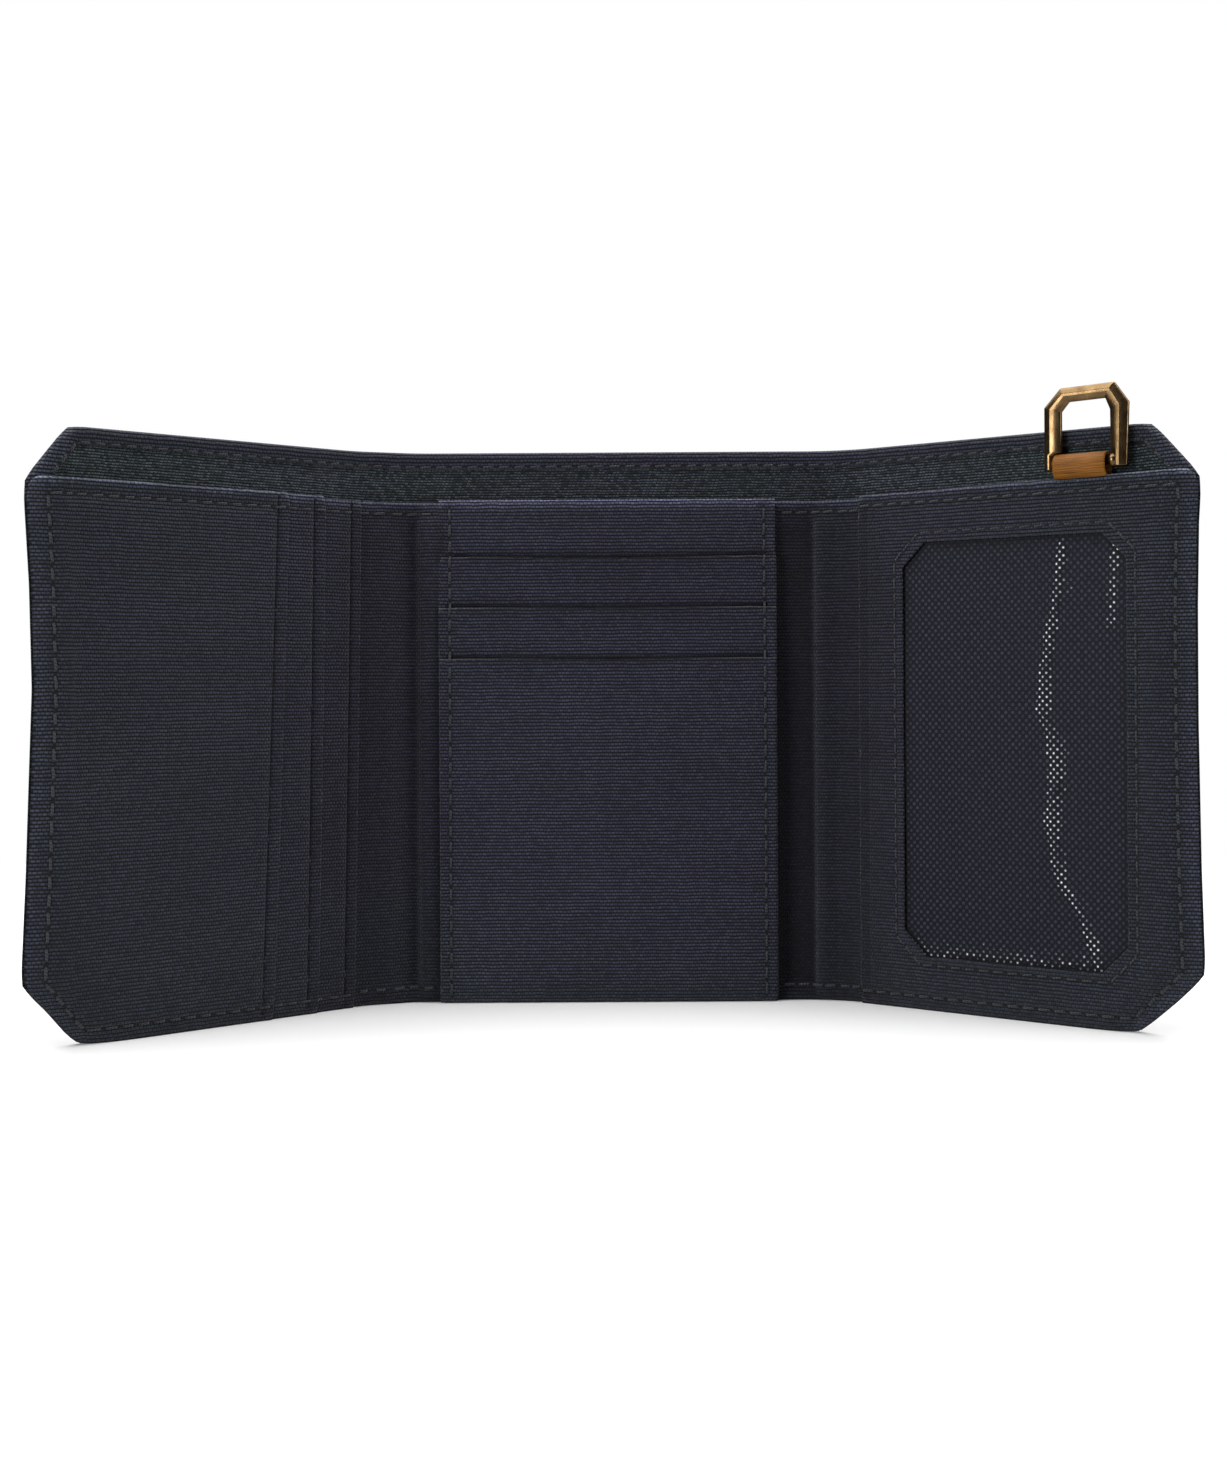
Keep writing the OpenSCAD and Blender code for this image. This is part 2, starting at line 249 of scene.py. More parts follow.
def grid_points(polygon, step):
    """A grid over the polygon, finer along s where a fold bends."""
    lo, hi = np.min(polygon, 0), np.max(polygon, 0)
    s = [lo[0]]
    while s[-1] < hi[0]:
        side = LEFT if s[-1] < 0 else RIGHT
        u = abs(s[-1])
        bends = FOLD[side] - ZONE[side] - 1 < u < FOLD[side] + SPINE[side] + ZONE[side] + 1
        s.append(s[-1] + (0.6 if bends else step))
    z = np.linspace(lo[1], hi[1], max(2, int((hi[1] - lo[1]) / step)) + 1)[1:-1]
    p = np.stack(np.meshgrid(s[1:-1], z), -1).reshape(-1, 2)
    p[:, 0] += 0.15 * step * np.sin(p[:, 1] * 12.9898)
    return p


def inside(p, polygon):
    hit = np.zeros(len(p), bool)
    for a, b in edges(polygon):
        cross = (a[1] > p[:, 1]) != (b[1] > p[:, 1])
        with np.errstate(divide="ignore", invalid="ignore"):
            x = (b[0] - a[0]) * (p[:, 1] - a[1]) / (b[1] - a[1]) + a[0]
        hit ^= cross & (p[:, 0] < x)
    return hit


def in_cloth(p, polygon, holes):
    keep = inside(p, polygon)
    for hole in holes:
        keep &= ~inside(p, hole)
    return keep


def thin(points, radius):
    """Drops points closer than radius to an earlier one, so that finer lines win over the plain grid."""
    kept, cells = [], {}
    for p, r in zip(points, radius):
        i, j = (int(math.floor(v)) for v in p)
        near = (q for di in (-1, 0, 1) for dj in (-1, 0, 1) for q in cells.get((i + di, j + dj), ()))
        if all((p[0] - q[0]) ** 2 + (p[1] - q[1]) ** 2 > r * r for q in near):
            cells.setdefault((i, j), []).append(p)
            kept.append(p)
    return np.array(kept)


def outline_points(ring, cut, depths):
    """Points round one outline, closer together at the ends of its cut edges."""
    points = []
    for i, (a, b) in enumerate(edges(ring)):
        a, b = np.array(a, float), np.array(b, float)
        length = np.linalg.norm(b - a)
        count = max(1, int(round(length / EDGE_STEP)))
        along = [j / count for j in range(count)]
        if i in cut:
            close = [d / length for d in sorted(depths) if d < 1.2]
            along = [0.0] + close + along[1:] + [1 - t for t in close[::-1]]
        points += [a + (b - a) * t for t in along]
    return points


def inner_points(polygon, holes, cut, depths, step, lines):
    """Points inside the outline: rows beside its edges and the given lines, and a grid between them."""
    fine = [offset_points(polygon, depths, cut)]
    fine += [offset_points(hole[::-1], [-d for d in depths]) for hole in holes]
    fine += [path_points(*line) for line in lines]
    fine = np.concatenate(fine)
    coarse = grid_points(polygon, step)
    points = np.concatenate([fine, coarse])
    radius = np.concatenate([np.full(len(fine), NEAREST), np.full(len(coarse), 0.45)])
    keep = in_cloth(points, polygon, holes)
    for ring in (polygon, *holes):
        keep &= edge_distance(points, ring) > NEAREST
    return thin(points[keep], radius[keep])


def fill(polygon, holes, cut, depths, step, lines):
    """The outline filled with triangles: its points in s and z, and the triangles' corners."""
    outline, joins = [], []
    for ring in (polygon, *holes):
        points = outline_points(ring, cut if ring is polygon else (), depths)
        first, n = len(outline), len(points)
        outline += points
        joins += [(first + j, first + (j + 1) % n) for j in range(n)]
    points = np.concatenate([np.array(outline), inner_points(polygon, holes, cut, depths, step, lines)])
    extent = 0 if holes else 1           # the whole hull, or only what lies inside the outline
    found = geometry.delaunay_2d_cdt([Vector(p) for p in points], joins, [], extent, 1e-6)
    p = np.array([tuple(v) for v in found[0]])
    tri = np.array([f for f in found[2] if len(f) == 3])
    tri = tri[in_cloth(p[tri].mean(1), polygon, holes)]
    first, second = p[tri[:, 1]] - p[tri[:, 0]], p[tri[:, 2]] - p[tri[:, 0]]
    turned = (first[:, 0] * second[:, 1] - first[:, 1] * second[:, 0]) < 0
    tri[turned] = tri[turned][:, ::-1]
    return p, tri


def sheet_faces(tri, sealed):
    """A sheet's front, back and side faces. The back's points follow the front's, and both share those of a
    sealed edge."""
    n = len(sealed)
    rear = np.where(sealed, np.arange(n), np.arange(n) + n)
    faces = [tuple(t) for t in tri] + [tuple(rear[t[::-1]]) for t in tri]
    sides = dict.fromkeys(side for a, b, c in tri for side in ((a, b), (b, c), (c, a)))
    for a, b in sides:
        if (b, a) not in sides and not (sealed[a] and sealed[b]):
            faces.append(tuple(dict.fromkeys((b, a, rear[a], rear[b]))))
    return faces


def add_layer(obj, name, values):
    """A UV layer with one pair of values for each vertex."""
    mesh = obj.data
    index = np.zeros(len(mesh.loops), int)
    mesh.loops.foreach_get("vertex_index", index)
    layer = mesh.uv_layers.new(name=name)
    layer.data.foreach_set("uv", np.asarray(values, float)[index].ravel().astype(np.float32))


def add_mesh(name, verts, faces, uv, material, smooth_angle=52):
    mesh = bpy.data.meshes.new(name)
    mesh.from_pydata([tuple(v) for v in verts], [], faces)
    obj = bpy.data.objects.new(name, mesh)
    add_layer(obj, "flat", uv)
    mesh.validate()
    mesh.shade_smooth()
    mesh.set_sharp_from_angle(angle=math.radians(smooth_angle))
    bpy.context.scene.collection.objects.link(obj)
    mesh.materials.append(material)
    return obj


def panel(name, polygon, front, back, material, holes=(), cut=(), step=2.2, edge=0.25, lines=(), contours=(),
          shade=None, on=None):
    """A sheet of cloth with rounded edges. front and back give h over arrays of s and z. The edges in cut
    are raw ends hidden in the next piece. lines are (path, offsets, spacing) along which the mesh is finer.
    shade gives the front's painted light: below 1 is painted shade in a crevice, above 1 a painted highlight on an
    edge. on names the part that the sheet is sewn on to; it is not used."""
    depths = [edge * f for f in (0.16, 0.48, 1.0, 2.0)] + list(contours)
    p, tri = fill(polygon, holes, cut, depths, step, lines)
    distance = np.min([edge_distance(p, polygon, cut)] + [edge_distance(p, hole) for hole in holes], axis=0)
    s, z = p[:, 0], p[:, 1]
    high, low = front(s, z), back(s, z)
    middle, half = (high + low) / 2, (high - low) / 2
    reach = np.minimum(np.maximum(half, 0.05), 2 * edge)
    half = half * np.sqrt(np.clip(1 - (1 - np.clip(distance / reach, 0, 1)) ** 2, 0, 1))
    pressed = squeeze(s, z)
    xyz = np.concatenate([place(s, z, (middle + half) * pressed), place(s, z, (middle - half) * pressed)])
    flat = np.tile(np.stack([s, z], 1) / 100 + 1.5, (2, 1))

    faces = sheet_faces(tri, distance < 1e-5)
    kept = np.unique(np.concatenate([np.array(f) for f in faces]))
    number = np.full(len(xyz), -1)
    number[kept] = np.arange(len(kept))
    faces = [tuple(int(number[v]) for v in f) for f in faces]
    obj = add_mesh(name + "_cloth", xyz[kept], faces, flat[kept], material)

    n = len(p)
    # The shade layer: first the front's painted light and shade, then how far its tint turns teal; the back gets no
    # painted light and a fixed tint.
    tone = np.ones((2 * n, 2))
    if shade:
        tone[:n, 0] = shade(s, z)
    tone[:n, 1] = np.clip(smooth((np.abs(s) - 55) / 40) + 0.8 * smooth((28 - z) / 30), 0, 1)
    tone[n:, 1] = 0.7
    add_layer(obj, "shade", tone[kept])
    if on:
        width, height = (float(v) * MM for v in np.ptp(np.array(polygon, float), axis=0))
        area = abs(signed_area(polygon)) - sum(abs(signed_area(hole)) for hole in holes)
    return obj


def tube_faces(count, around, base=0, turned=False):
    """Faces of a capped tube of rings of points, numbered from base. turned turns them inside out."""
    faces = []
    for k in range(count - 1):
        lo, hi = base + k * around, base + (k + 1) * around
        for j in range(around):
            i = (j + 1) % around
            faces.append((lo + j, hi + j, hi + i, lo + i) if turned else (lo + j, lo + i, hi + i, hi + j))
    first, last = tuple(range(base, base + around)), tuple(range(hi, hi + around))
    return faces + ([first, last[::-1]] if turned else [first[::-1], last])


PITCH, STITCH_LENGTH = 3.1, 2.3
STITCH = (                               # one stitch: place along it, rise and thickness
    (-0.5, -0.26, 0.25), (-0.47, -0.10, 0.75), (-0.38, 0.08, 0.95), (-0.2, 0.15, 1.0), (0.0, 0.17, 1.0),
    (0.2, 0.15, 1.0), (0.38, 0.08, 0.95), (0.47, -0.10, 0.75), (0.5, -0.26, 0.25),
)
AROUND = 7                               # points round the thread
HOLE_SHADE_R, HOLE_SHADE_U = 0.24, -2.0              # radius of the near-black disc painted as a needle hole's shade, and its mark in the thread's coordinates


def stitches(name, path, height, seed, pitch=PITCH, width=0.42, slant=3.0):
    """A row of thread, one small raised length for each stitch, that dips at both ends towards a flat near-black
    disc, painted shade standing for the needle hole.
    """
    rng = np.random.default_rng(seed)
    turn = np.linspace(0, 2 * math.pi, AROUND, endpoint=False)
    parts, faces, base = [], [], 0
    for a, b in pairwise(path):
        a, b = np.array(a, float), np.array(b, float)
        run = np.linalg.norm(b - a)
        count = max(1, int(round(run / pitch)))
        for i in range(count):
            centre = a + (b - a) * (i + 0.5) / count
            tilt = math.radians(slant + rng.normal(0, 1.6))
            cos, sin = math.cos(tilt), math.sin(tilt)
            t = (b - a) / run
            t = np.array([t[0] * cos - t[1] * sin, t[0] * sin + t[1] * cos])
            n = np.array([-t[1], t[0]])
            size = STITCH_LENGTH * pitch / PITCH * (1 + rng.normal(0, 0.04))
            lift = rng.normal(0, 0.02)
            for u, rise, fat in STITCH:
                flat = centre + t * u * size + np.cos(turn)[:, None] * n * width / 2 * fat
                h = rise + lift + np.sin(turn) * width * 0.42 * fat
                parts.append(np.column_stack([flat, h, np.full(AROUND, u * size), turn / 6.28 * width * 2]))
            faces += tube_faces(len(STITCH), AROUND, base)
            base += len(STITCH) * AROUND
            # A flat near-black disc at each end of the stitch: painted shade for the needle hole.
            for end in (-0.5, 0.5):
                at = centre + t * end * (size + 0.25)
                rim = np.stack([np.cos(turn) * HOLE_SHADE_R * 1.25, np.sin(turn) * HOLE_SHADE_R], 1)
                flat = np.concatenate([at[None], at + rim])
                mark = np.full((AROUND + 1, 2), HOLE_SHADE_U * 100)
                parts.append(np.column_stack([flat, np.full(AROUND + 1, 0.045), mark]))
                faces += [(base, base + 1 + j, base + 1 + (j + 1) % AROUND) for j in range(AROUND)]
                base += AROUND + 1
    s, z, h, *uv = np.concatenate(parts).T
    h = height(s, z) * squeeze(s, z) + h
    return add_mesh(name, place(s, z, h), faces, np.stack(uv, 1) / 100, M["thread"], 80)


# ---------------------------------------------------------------- materials
def node(tree, kind, inputs=None, out=0, **settings):
    """Adds a node, feeds it values or other nodes' outputs, and returns one of its own outputs."""
    made = tree.nodes.new(kind)
    for key, value in settings.items():
        setattr(made, key, value)
    for key, value in (inputs or {}).items():
        if isinstance(value, bpy.types.NodeSocket):
            tree.links.new(value, made.inputs[key])
        else:
            made.inputs[key].default_value = value
    return made.outputs[out]


def layer(tree, name):
    return node(tree, "ShaderNodeUVMap", uv_map=name)


def calc(tree, operation, *values):
    return node(tree, "ShaderNodeMath", dict(enumerate(values)), operation=operation)


def vector_calc(tree, operation, *values):
    return node(tree, "ShaderNodeVectorMath", dict(enumerate(values)), operation=operation)


def scaled(tree, colour, factor):
    return node(tree, "ShaderNodeVectorMath", {0: colour, "Scale": factor}, operation="SCALE")


def split(tree, vector):
    separate = node(tree, "ShaderNodeSeparateXYZ", {0: vector}).node
    return separate.outputs[0], separate.outputs[1]


def mix(tree, factor, first, second):
    return node(tree, "ShaderNodeMix", {"Factor": factor, "A": first, "B": second}, "Result", data_type="RGBA")


def spread(tree, value, low, high, to_low=0.0, to_high=1.0, kind="LINEAR"):
    inputs = {"Value": value, "From Min": low, "From Max": high, "To Min": to_low, "To Max": to_high}
    return node(tree, "ShaderNodeMapRange", inputs, interpolation_type=kind)


def noise(tree, at, scale, detail, roughness=0.5, out="Fac"):
    inputs = {"Vector": at, "Scale": scale, "Detail": detail, "Roughness": roughness}
    return node(tree, "ShaderNodeTexNoise", inputs, out)


def ramp(tree, value, low, dark, high, light):
    colour = node(tree, "ShaderNodeValToRGB", {"Fac": value})
    for stop, at, tone in zip(colour.node.color_ramp.elements, (low, high), (dark, light)):
        stop.position, stop.color = at, (*tone, 1)
    return colour


def new_material(name, rough, sheen=0.0, specular=0.3, metallic=0.0):
    mat = bpy.data.materials.new(name)
    mat.use_nodes = True
    shader = mat.node_tree.nodes["Principled BSDF"]
    for key, value in (("Roughness", rough), ("Sheen Weight", sheen), ("Sheen Roughness", 0.45),
                       ("Specular IOR Level", specular), ("Metallic", metallic)):
        shader.inputs[key].default_value = value
    return mat, mat.node_tree, shader


def dress(tree, shader, colour, height, strength, depth, rough=None):
    """Joins a colour, a bump and perhaps a roughness to the material's shader."""
    bump = node(tree, "ShaderNodeBump", {"Height": height, "Strength": strength, "Distance": depth})
    for key, value in (("Base Color", colour), ("Normal", bump), ("Roughness", rough)):
        if value:
            tree.links.new(value, shader.inputs[key])


def flat_coordinates(tree, shear=0.0):
    """The cloth's own flat coordinates in mm, so that the weave runs unbroken over folds."""
    x, z = (calc(tree, "MULTIPLY", part, 100) for part in split(tree, layer(tree, "flat")))
    if shear:
        x = calc(tree, "MULTIPLY_ADD", z, shear, x)
    return node(tree, "ShaderNodeCombineXYZ", {0: x, 1: z})


def weave(name, light, dark, gap, width=0.76, row=0.665, shear=0.0, bump=0.00024, rough=0.85):
    """Plain weave: rows of short floats, each with its own shade, with dark gaps and fine slubs."""
    mat, tree, shader = new_material(name, rough, 0.15, 0.15)
    at = flat_coordinates(tree, shear)
    shift = vector_calc(tree, "SUBTRACT", noise(tree, at, 0.35, 2.0, out="Color"), (0.5, 0.5, 0.5))
    moved = vector_calc(tree, "MULTIPLY_ADD", shift, (0.6, 0.35, 0), at)
    brick = node(tree, "ShaderNodeTexBrick", {
        "Vector": moved, "Color1": (*light, 1), "Color2": (*dark, 1), "Mortar": (*(0.4 * c for c in dark), 1),
        "Scale": 1.0, "Mortar Size": 0.21 * width, "Mortar Smooth": 1.0, "Bias": 0.0, "Brick Width": width,
        "Row Height": row}, offset=0.5, offset_frequency=2, squash=1.0).node
    turn = calc(tree, "MULTIPLY", split(tree, moved)[1], math.pi / row)
    rib = calc(tree, "ABSOLUTE", calc(tree, "SINE", turn))
    cloth = mix(tree, spread(tree, rib, 0.25, 0.98, kind="SMOOTHSTEP"), (*gap, 1), brick.outputs["Color"])
    slub = noise(tree, at, 1.3, 4.0, 0.7)
    uneven = calc(tree, "ADD", slub, noise(tree, at, 0.045, 3.0, 0.6))
    tone = scaled(tree, cloth, spread(tree, uneven, 0.6, 1.4, 0.74, 1.26))
    # The shade layer's first value is painted light, multiplied into the colour: painted shade below 1, painted
    # highlight above 1. Its second value sets how far the tint turns teal.
    painted_light, faded = split(tree, layer(tree, "shade"))
    faded = calc(tree, "MULTIPLY_ADD", faded, 0.55, noise(tree, at, 0.028, 1.0))
    tint = mix(tree, spread(tree, faded, 0.4, 1.05), (1.0, 0.97, 1.07, 1), (0.96, 1.07, 0.99, 1))
    floats = calc(tree, "MULTIPLY_ADD", brick.outputs["Fac"], -0.5, rib)
    height = calc(tree, "MULTIPLY_ADD", slub, 0.3, floats)
    dress(tree, shader, scaled(tree, vector_calc(tree, "MULTIPLY", tone, tint), painted_light), height, 0.9, bump)
    return mat


def thread_material():
    mat, tree, shader = new_material("thread", 0.7, 0.3, 0.25)
    uv = layer(tree, "flat")
    size = vector_calc(tree, "MULTIPLY", uv, (100, 100, 100))
    twist = node(tree, "ShaderNodeTexWave", {"Vector": size, "Scale": 1.1, "Distortion": 0.6}, "Fac",
                 wave_type="BANDS", bands_direction="DIAGONAL")
    plies = mix(tree, twist, (0.013, 0.015, 0.019, 1), (0.048, 0.052, 0.060, 1))
    # The needle-hole discs are coloured near-black: painted shade.
    is_thread = calc(tree, "GREATER_THAN", split(tree, uv)[0], HOLE_SHADE_U / 2)
    dress(tree, shader, mix(tree, is_thread, (0.0015, 0.0015, 0.002, 1), plies), twist, 0.6, 0.00006)
    return mat


def mesh_material():
    """Fine mesh film: a staggered lattice of small knots, with painted glints along the film's creases, where knots
    are coloured near-white (painted highlight) and made less rough.
    """
    mat, tree, shader = new_material("window_mesh", 0.6, 0.1, 0.15)
    at = flat_coordinates(tree)
    size = vector_calc(tree, "MULTIPLY", at, (2 * math.pi / 1.38, 2 * math.pi / 1.46, 0))
    lattice = calc(tree, "MULTIPLY", *(calc(tree, "COSINE", part) for part in split(tree, size)))
    knot = spread(tree, lattice, -0.1, 0.75, kind="SMOOTHSTEP")
    speck = noise(tree, at, 1.1, 2.0)
    dull = mix(tree, knot, (0.003, 0.004, 0.009, 1), (0.031, 0.034, 0.052, 1))
    painted_glint, lit = split(tree, layer(tree, "painted_glint"))
    # lit is a painted shadow along the window's edge, multiplied into the colour.
    tone = scaled(tree, dull, calc(tree, "MULTIPLY", spread(tree, speck, 0.3, 0.7, 0.6, 1.4), lit))
    # Painted glints: knots along the creases are coloured near-white.
    crease = spread(tree, calc(tree, "ADD", speck, painted_glint), 0.95, 1.35, kind="SMOOTHSTEP")
    glint = calc(tree, "MULTIPLY", crease, spread(tree, lattice, 0.45, 0.95, kind="SMOOTHSTEP"))
    dress(tree, shader, mix(tree, glint, tone, (0.85, 0.86, 0.90, 1)), knot, 0.8, 0.00012,
          spread(tree, glint, 0.0, 1.0, 0.6, 0.3))
    return mat


def leather_material():
    mat, tree, shader = new_material("leather", 0.5, 0.0, 0.25)
    streak = node(tree, "ShaderNodeMapping", {"Vector": flat_coordinates(tree), "Scale": (0.10, 7.0, 1.0)})
    grain = noise(tree, streak, 1.6, 5.0, 0.65)
    colour = ramp(tree, grain, 0.34, (0.060, 0.018, 0.002), 0.66, (0.42, 0.160, 0.014))
    dress(tree, shader, colour, grain, 0.6, 0.00025)
    return mat


def brass_material():
    mat, tree, shader = new_material("antique_brass", 0.34, 0.0, 0.5, 1.0)
    where = node(tree, "ShaderNodeTexCoord", out="Object")
    patches = noise(tree, where, 420.0, 5.0, 0.6)
    colour = ramp(tree, patches, 0.22, (0.105, 0.062, 0.028), 0.80, (0.33, 0.215, 0.103))
    brushed = node(tree, "ShaderNodeMapping", {"Vector": where, "Scale": (1.0, 1.0, 0.08)})
    fine = noise(tree, brushed, 9000.0, 2.0)
    dress(tree, shader, colour, fine, 0.25, 0.00004, spread(tree, fine, 0.0, 1.0, 0.18, 0.44))
    return mat


M = {
    "canvas": weave("canvas", (0.0455, 0.0475, 0.0725), (0.026, 0.027, 0.0435), (0.0008, 0.0010, 0.0030)),
    "lining": weave("lining", (0.088, 0.106, 0.122), (0.014, 0.020, 0.025), (0.0010, 0.0018, 0.0030),
                    width=0.72, row=0.52, shear=0.35, bump=0.00018, rough=0.7),
    "thread": thread_material(),
    "mesh": mesh_material(),
    "leather": leather_material(),
    "brass": brass_material(),
}


# ---------------------------------------------------------------- helpers for folds
def across(obj, side, which):
    """Bakes the piece's transform into its mesh; the bend over the fold already comes from place(). which is 0 for
    the fold at the centre panel and 1 for the wing's, and picks the bodies and fold points that are passed on but
    not used.
    """
    fold = FOLD[side] + which * SPINE[side]
    a, b = ("center", BODY[side][0]) if which == 0 else BODY[side]
    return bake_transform(obj, a, b, start=point(side * (fold - ZONE[side])), end=point(side * (fold + ZONE[side])))


def const(value):
    return lambda s, z: np.full(np.shape(s), float(value))


def painted_edge_light_and_fold_shade(s, z, top):
    """A layer's painted light: painted shade near the folds, a painted highlight along the wings' rolled ends and
    cut corners, and a strong painted highlight along its top edge, where light from above catches the fuzzy fold.
    """
    u = np.abs(s)
    # painted shade near the folds
    fold = 1 - 0.16 * (1 - smooth((u - 46) / 26)) - 0.13 * hump(u - 48, 9)
    to_end = np.where(s < 0, END[LEFT], END[RIGHT]) - u
    to_cut = (to_end + np.minimum(z - BOTTOM_CUT, SHELL_TOP - TOP_CUT - z)) / math.sqrt(2)
    # painted highlight on the wings' rolled ends and cut corners
    painted_light = np.where(s < 0, 0.5, 0.6) * smooth((3.0 - np.minimum(to_end, to_cut)) / 2.0)
    # painted highlight along the top edge, where light from above catches it
    return fold * (1 + painted_light) * (1 + 2.1 * smooth((z - top + 0.9) / 0.6))


def flat_panel_parts(name, top, bottom, front, back, material, layers, on, cut_top=True, lines=None,
                     edge=0.25, shade=None):
    """One cloth that runs the whole length of the wallet, in four pieces that meet where nothing bends.
    layers are the frame's layers that it stands for."""
    for side, kind in ((side, kind) for side in NAMES for kind in ("inner", "wing")):
        middle = side * MIDDLE[side]
        if kind == "inner":
            outline = outline_on(side, [(0, bottom), (MIDDLE[side], bottom), (MIDDLE[side], top), (0, top)])
            ends = (0, middle)
            bodies = ["center", "left_spine"] if side == LEFT else ["right_spine"]
        else:
            outline = wing_outline(side, MIDDLE[side], top, TOP_CUT if cut_top else 0)
            outline = [(s, max(z, bottom)) for s, z in outline]
            ends = (middle,)
            bodies = [f"{NAMES[side]}_wing"]
        cut = [i for i, (a, b) in enumerate(edges(outline))
               if any(abs(a[0] - end) < 1e-6 and abs(b[0] - end) < 1e-6 for end in ends)]
        obj = panel(f"{name}_{NAMES[side]}_{kind}", outline, front, back, M[material], cut=cut,
                    lines=lines(side, kind) if lines else (), edge=edge, shade=shade, on=on)
        across(obj, side, 0 if kind == "inner" else 1)
        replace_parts(obj, *(f"{cloth}_{body}" for cloth in layers for body in bodies))


# ---------------------------------------------------------------- shell, lining and the bill wall
def top_distance(s, z):
    """Distance below the shell's top edge, which runs along the top and down the corner cuts."""
    d = SHELL_TOP - z
    for side in NAMES:
        u = s * side
        d = np.where(u > 0, np.minimum(d, (END[side] - u + SHELL_TOP - z - TOP_CUT) / math.sqrt(2)), d)
    return d


HEM = 3.2


def shell_front(s, z):
    d = top_distance(s, z)
    low = smooth((z - 92) / 6)
    roll = 0.25 * hump(d - 1.1, 1.0)
    return -0.25 + low * (0.66 * (1 - smooth((d - HEM) / 0.28)) + roll - 0.22 * hump(d - 2.8, 0.5))


def shell_back(s, z):
    return -0.9 + 0.05 * np.sin(s * 0.11 + 1.0) * np.sin(z * 0.09)


def shell_shade(s, z):
    """The shell's tone, lighter on the turned-in hem, with a painted highlight on the hem where the corner cuts
    face the light, stronger on the left.
    """
    corner = smooth((np.abs(s) - np.where(s < 0, END[LEFT], END[RIGHT]) + TOP_CUT + 2) / 4)
    return 1 + smooth((HEM - top_distance(s, z)) / 0.5) * (0.12 + np.where(s < 0, 0.6, 0.35) * corner)


def shell_lines(side, kind):
    low = SHELL_TOP - TOP_CUT - 2
    found = []
    for d in (2.35, 2.8, HEM - 0.02, HEM + 0.15, HEM + 0.3):
        corner = END[side] - TOP_CUT - d * (math.sqrt(2) - 1)
        if kind == "wing":
            path = [(side * MIDDLE[side], SHELL_TOP - d), (side * corner, SHELL_TOP - d),
                    (side * (corner + (SHELL_TOP - d - low)), low)]
        else:
            path = [(0, SHELL_TOP - d), (side * MIDDLE[side], SHELL_TOP - d)]
        found.append(line(path, 1.2))
    return found


flat_panel_parts(
    "shell", SHELL_TOP, 0.0, shell_front, shell_back, "canvas",
    ("shell", "hem", "interfacing"), "bottom_seam_center", lines=shell_lines, edge=0.5, shade=shell_shade)

# The lining is painted darker over the centre panel, fading out towards the spines: painted shade.
flat_panel_parts(
    "lining", SHELL_TOP - 2.4, 0.8, const(-0.02), const(-0.2), "lining",
    ("lining",), "interfacing_center", shade=lambda s, z: 1 - 0.22 * (1 - smooth((np.abs(s) - 35) / 15)))


SLOTS = [87.3, 77.4, 67.4]               # heights of the card slots' mouths
STACK_W = 33.0                           # half the width of the card stack


def valley(s, z):
    """How far the wall sinks into the creases beside the two folds, and swells next to them."""
    u = np.abs(s)
    left = smooth((u - 37.0) / 1.3) * (1 - smooth((u - 39.3) / 5.5))
    left = left - 0.7 * smooth((u - 31) / 2) * (1 - smooth((u - 36.4) / 1.2))
    right = smooth((u - 32.0) / 2.0) * (1 - smooth((u - 40.4) / 1.0)) - 0.5 * hump(u - 43.0, 1.6)
    fade = smooth((WALL_TOP + 1 - z) / 7) * smooth((z + 1) / 6)
    return 1.3 * fade * np.where(s < 0, left, right)


def wall_front(s, z):
    row = 0.16 * hump(WALL_TOP - SEAM_TOP - z, 0.6)
    return 2.0 - row - valley(s, z) + 0.03 * np.sin(s * 0.23) * np.sin(z * 0.13)


def wall_back(s, z):
    return 1.4 - valley(s, z)


# The wall's tone: painted shade in the crease beside the left fold, a painted shadow of the card stack over the
# strip before the right fold, and painted shade along the stack's side edges, on top of the painted light of its
# top edge and folds.
def wall_shade(s, z):
    u, fade = np.abs(s), smooth((WALL_TOP - 2 - z) / 4) * smooth((z + 1) / 6)
    left = 0.35 * hump(u - 37.6, 0.8) * smooth((z - 20) / 50)
    right = 0.5 * smooth((u - 32.5) / 1.0) * (1 - smooth((u - 40.3) / 0.7))
    beside = 0.3 * hump(np.maximum(u - STACK_W, 0), 0.7)
    return painted_edge_light_and_fold_shade(s, z, WALL_TOP) * (1 - fade * (np.where(s < 0, left, right) + beside))


CREASE_LINES = {
    LEFT: (33.4, 36.6, 37.0, 37.4, 37.8, 38.3, 39.4, 41.4, 43.2),
    RIGHT: (32.5, 33.4, 40.3, 40.7, 41.1, 41.5, 42.0, 43.4),
}


def wall_lines(side, kind):
    if kind == "wing":
        return []
    found = [line([(side * u, 1.5), (side * u, WALL_TOP - 1)]) for u in CREASE_LINES[side]]
    row = [(0, WALL_TOP - SEAM_TOP), (side * MIDDLE[side], WALL_TOP - SEAM_TOP)]
    return found + [(row, (-0.8, 0, 0.8), 1.2)]


flat_panel_parts(
    "bill_wall", WALL_TOP, 0.1, wall_front, wall_back, "canvas",
    ("bill_wall",), "bottom_seam_center", cut_top=False, lines=wall_lines, shade=wall_shade)


# ---------------------------------------------------------------- pockets on the left wing
POCKET_T = 0.4                           # thickness of a pocket's cloth
CAP_LOW = 1.25                           # how far back an edge turned over the wall's top reaches
POCKETS = [                              # name, mouth at the top and at the bottom, front height, top
    ("rear", 49.7, 52.2, 2.50, 98.30),
    ("middle", 58.6, 60.9, 3.00, 98.55),
    ("front", 66.9, 71.1, 3.50, 98.80),
]


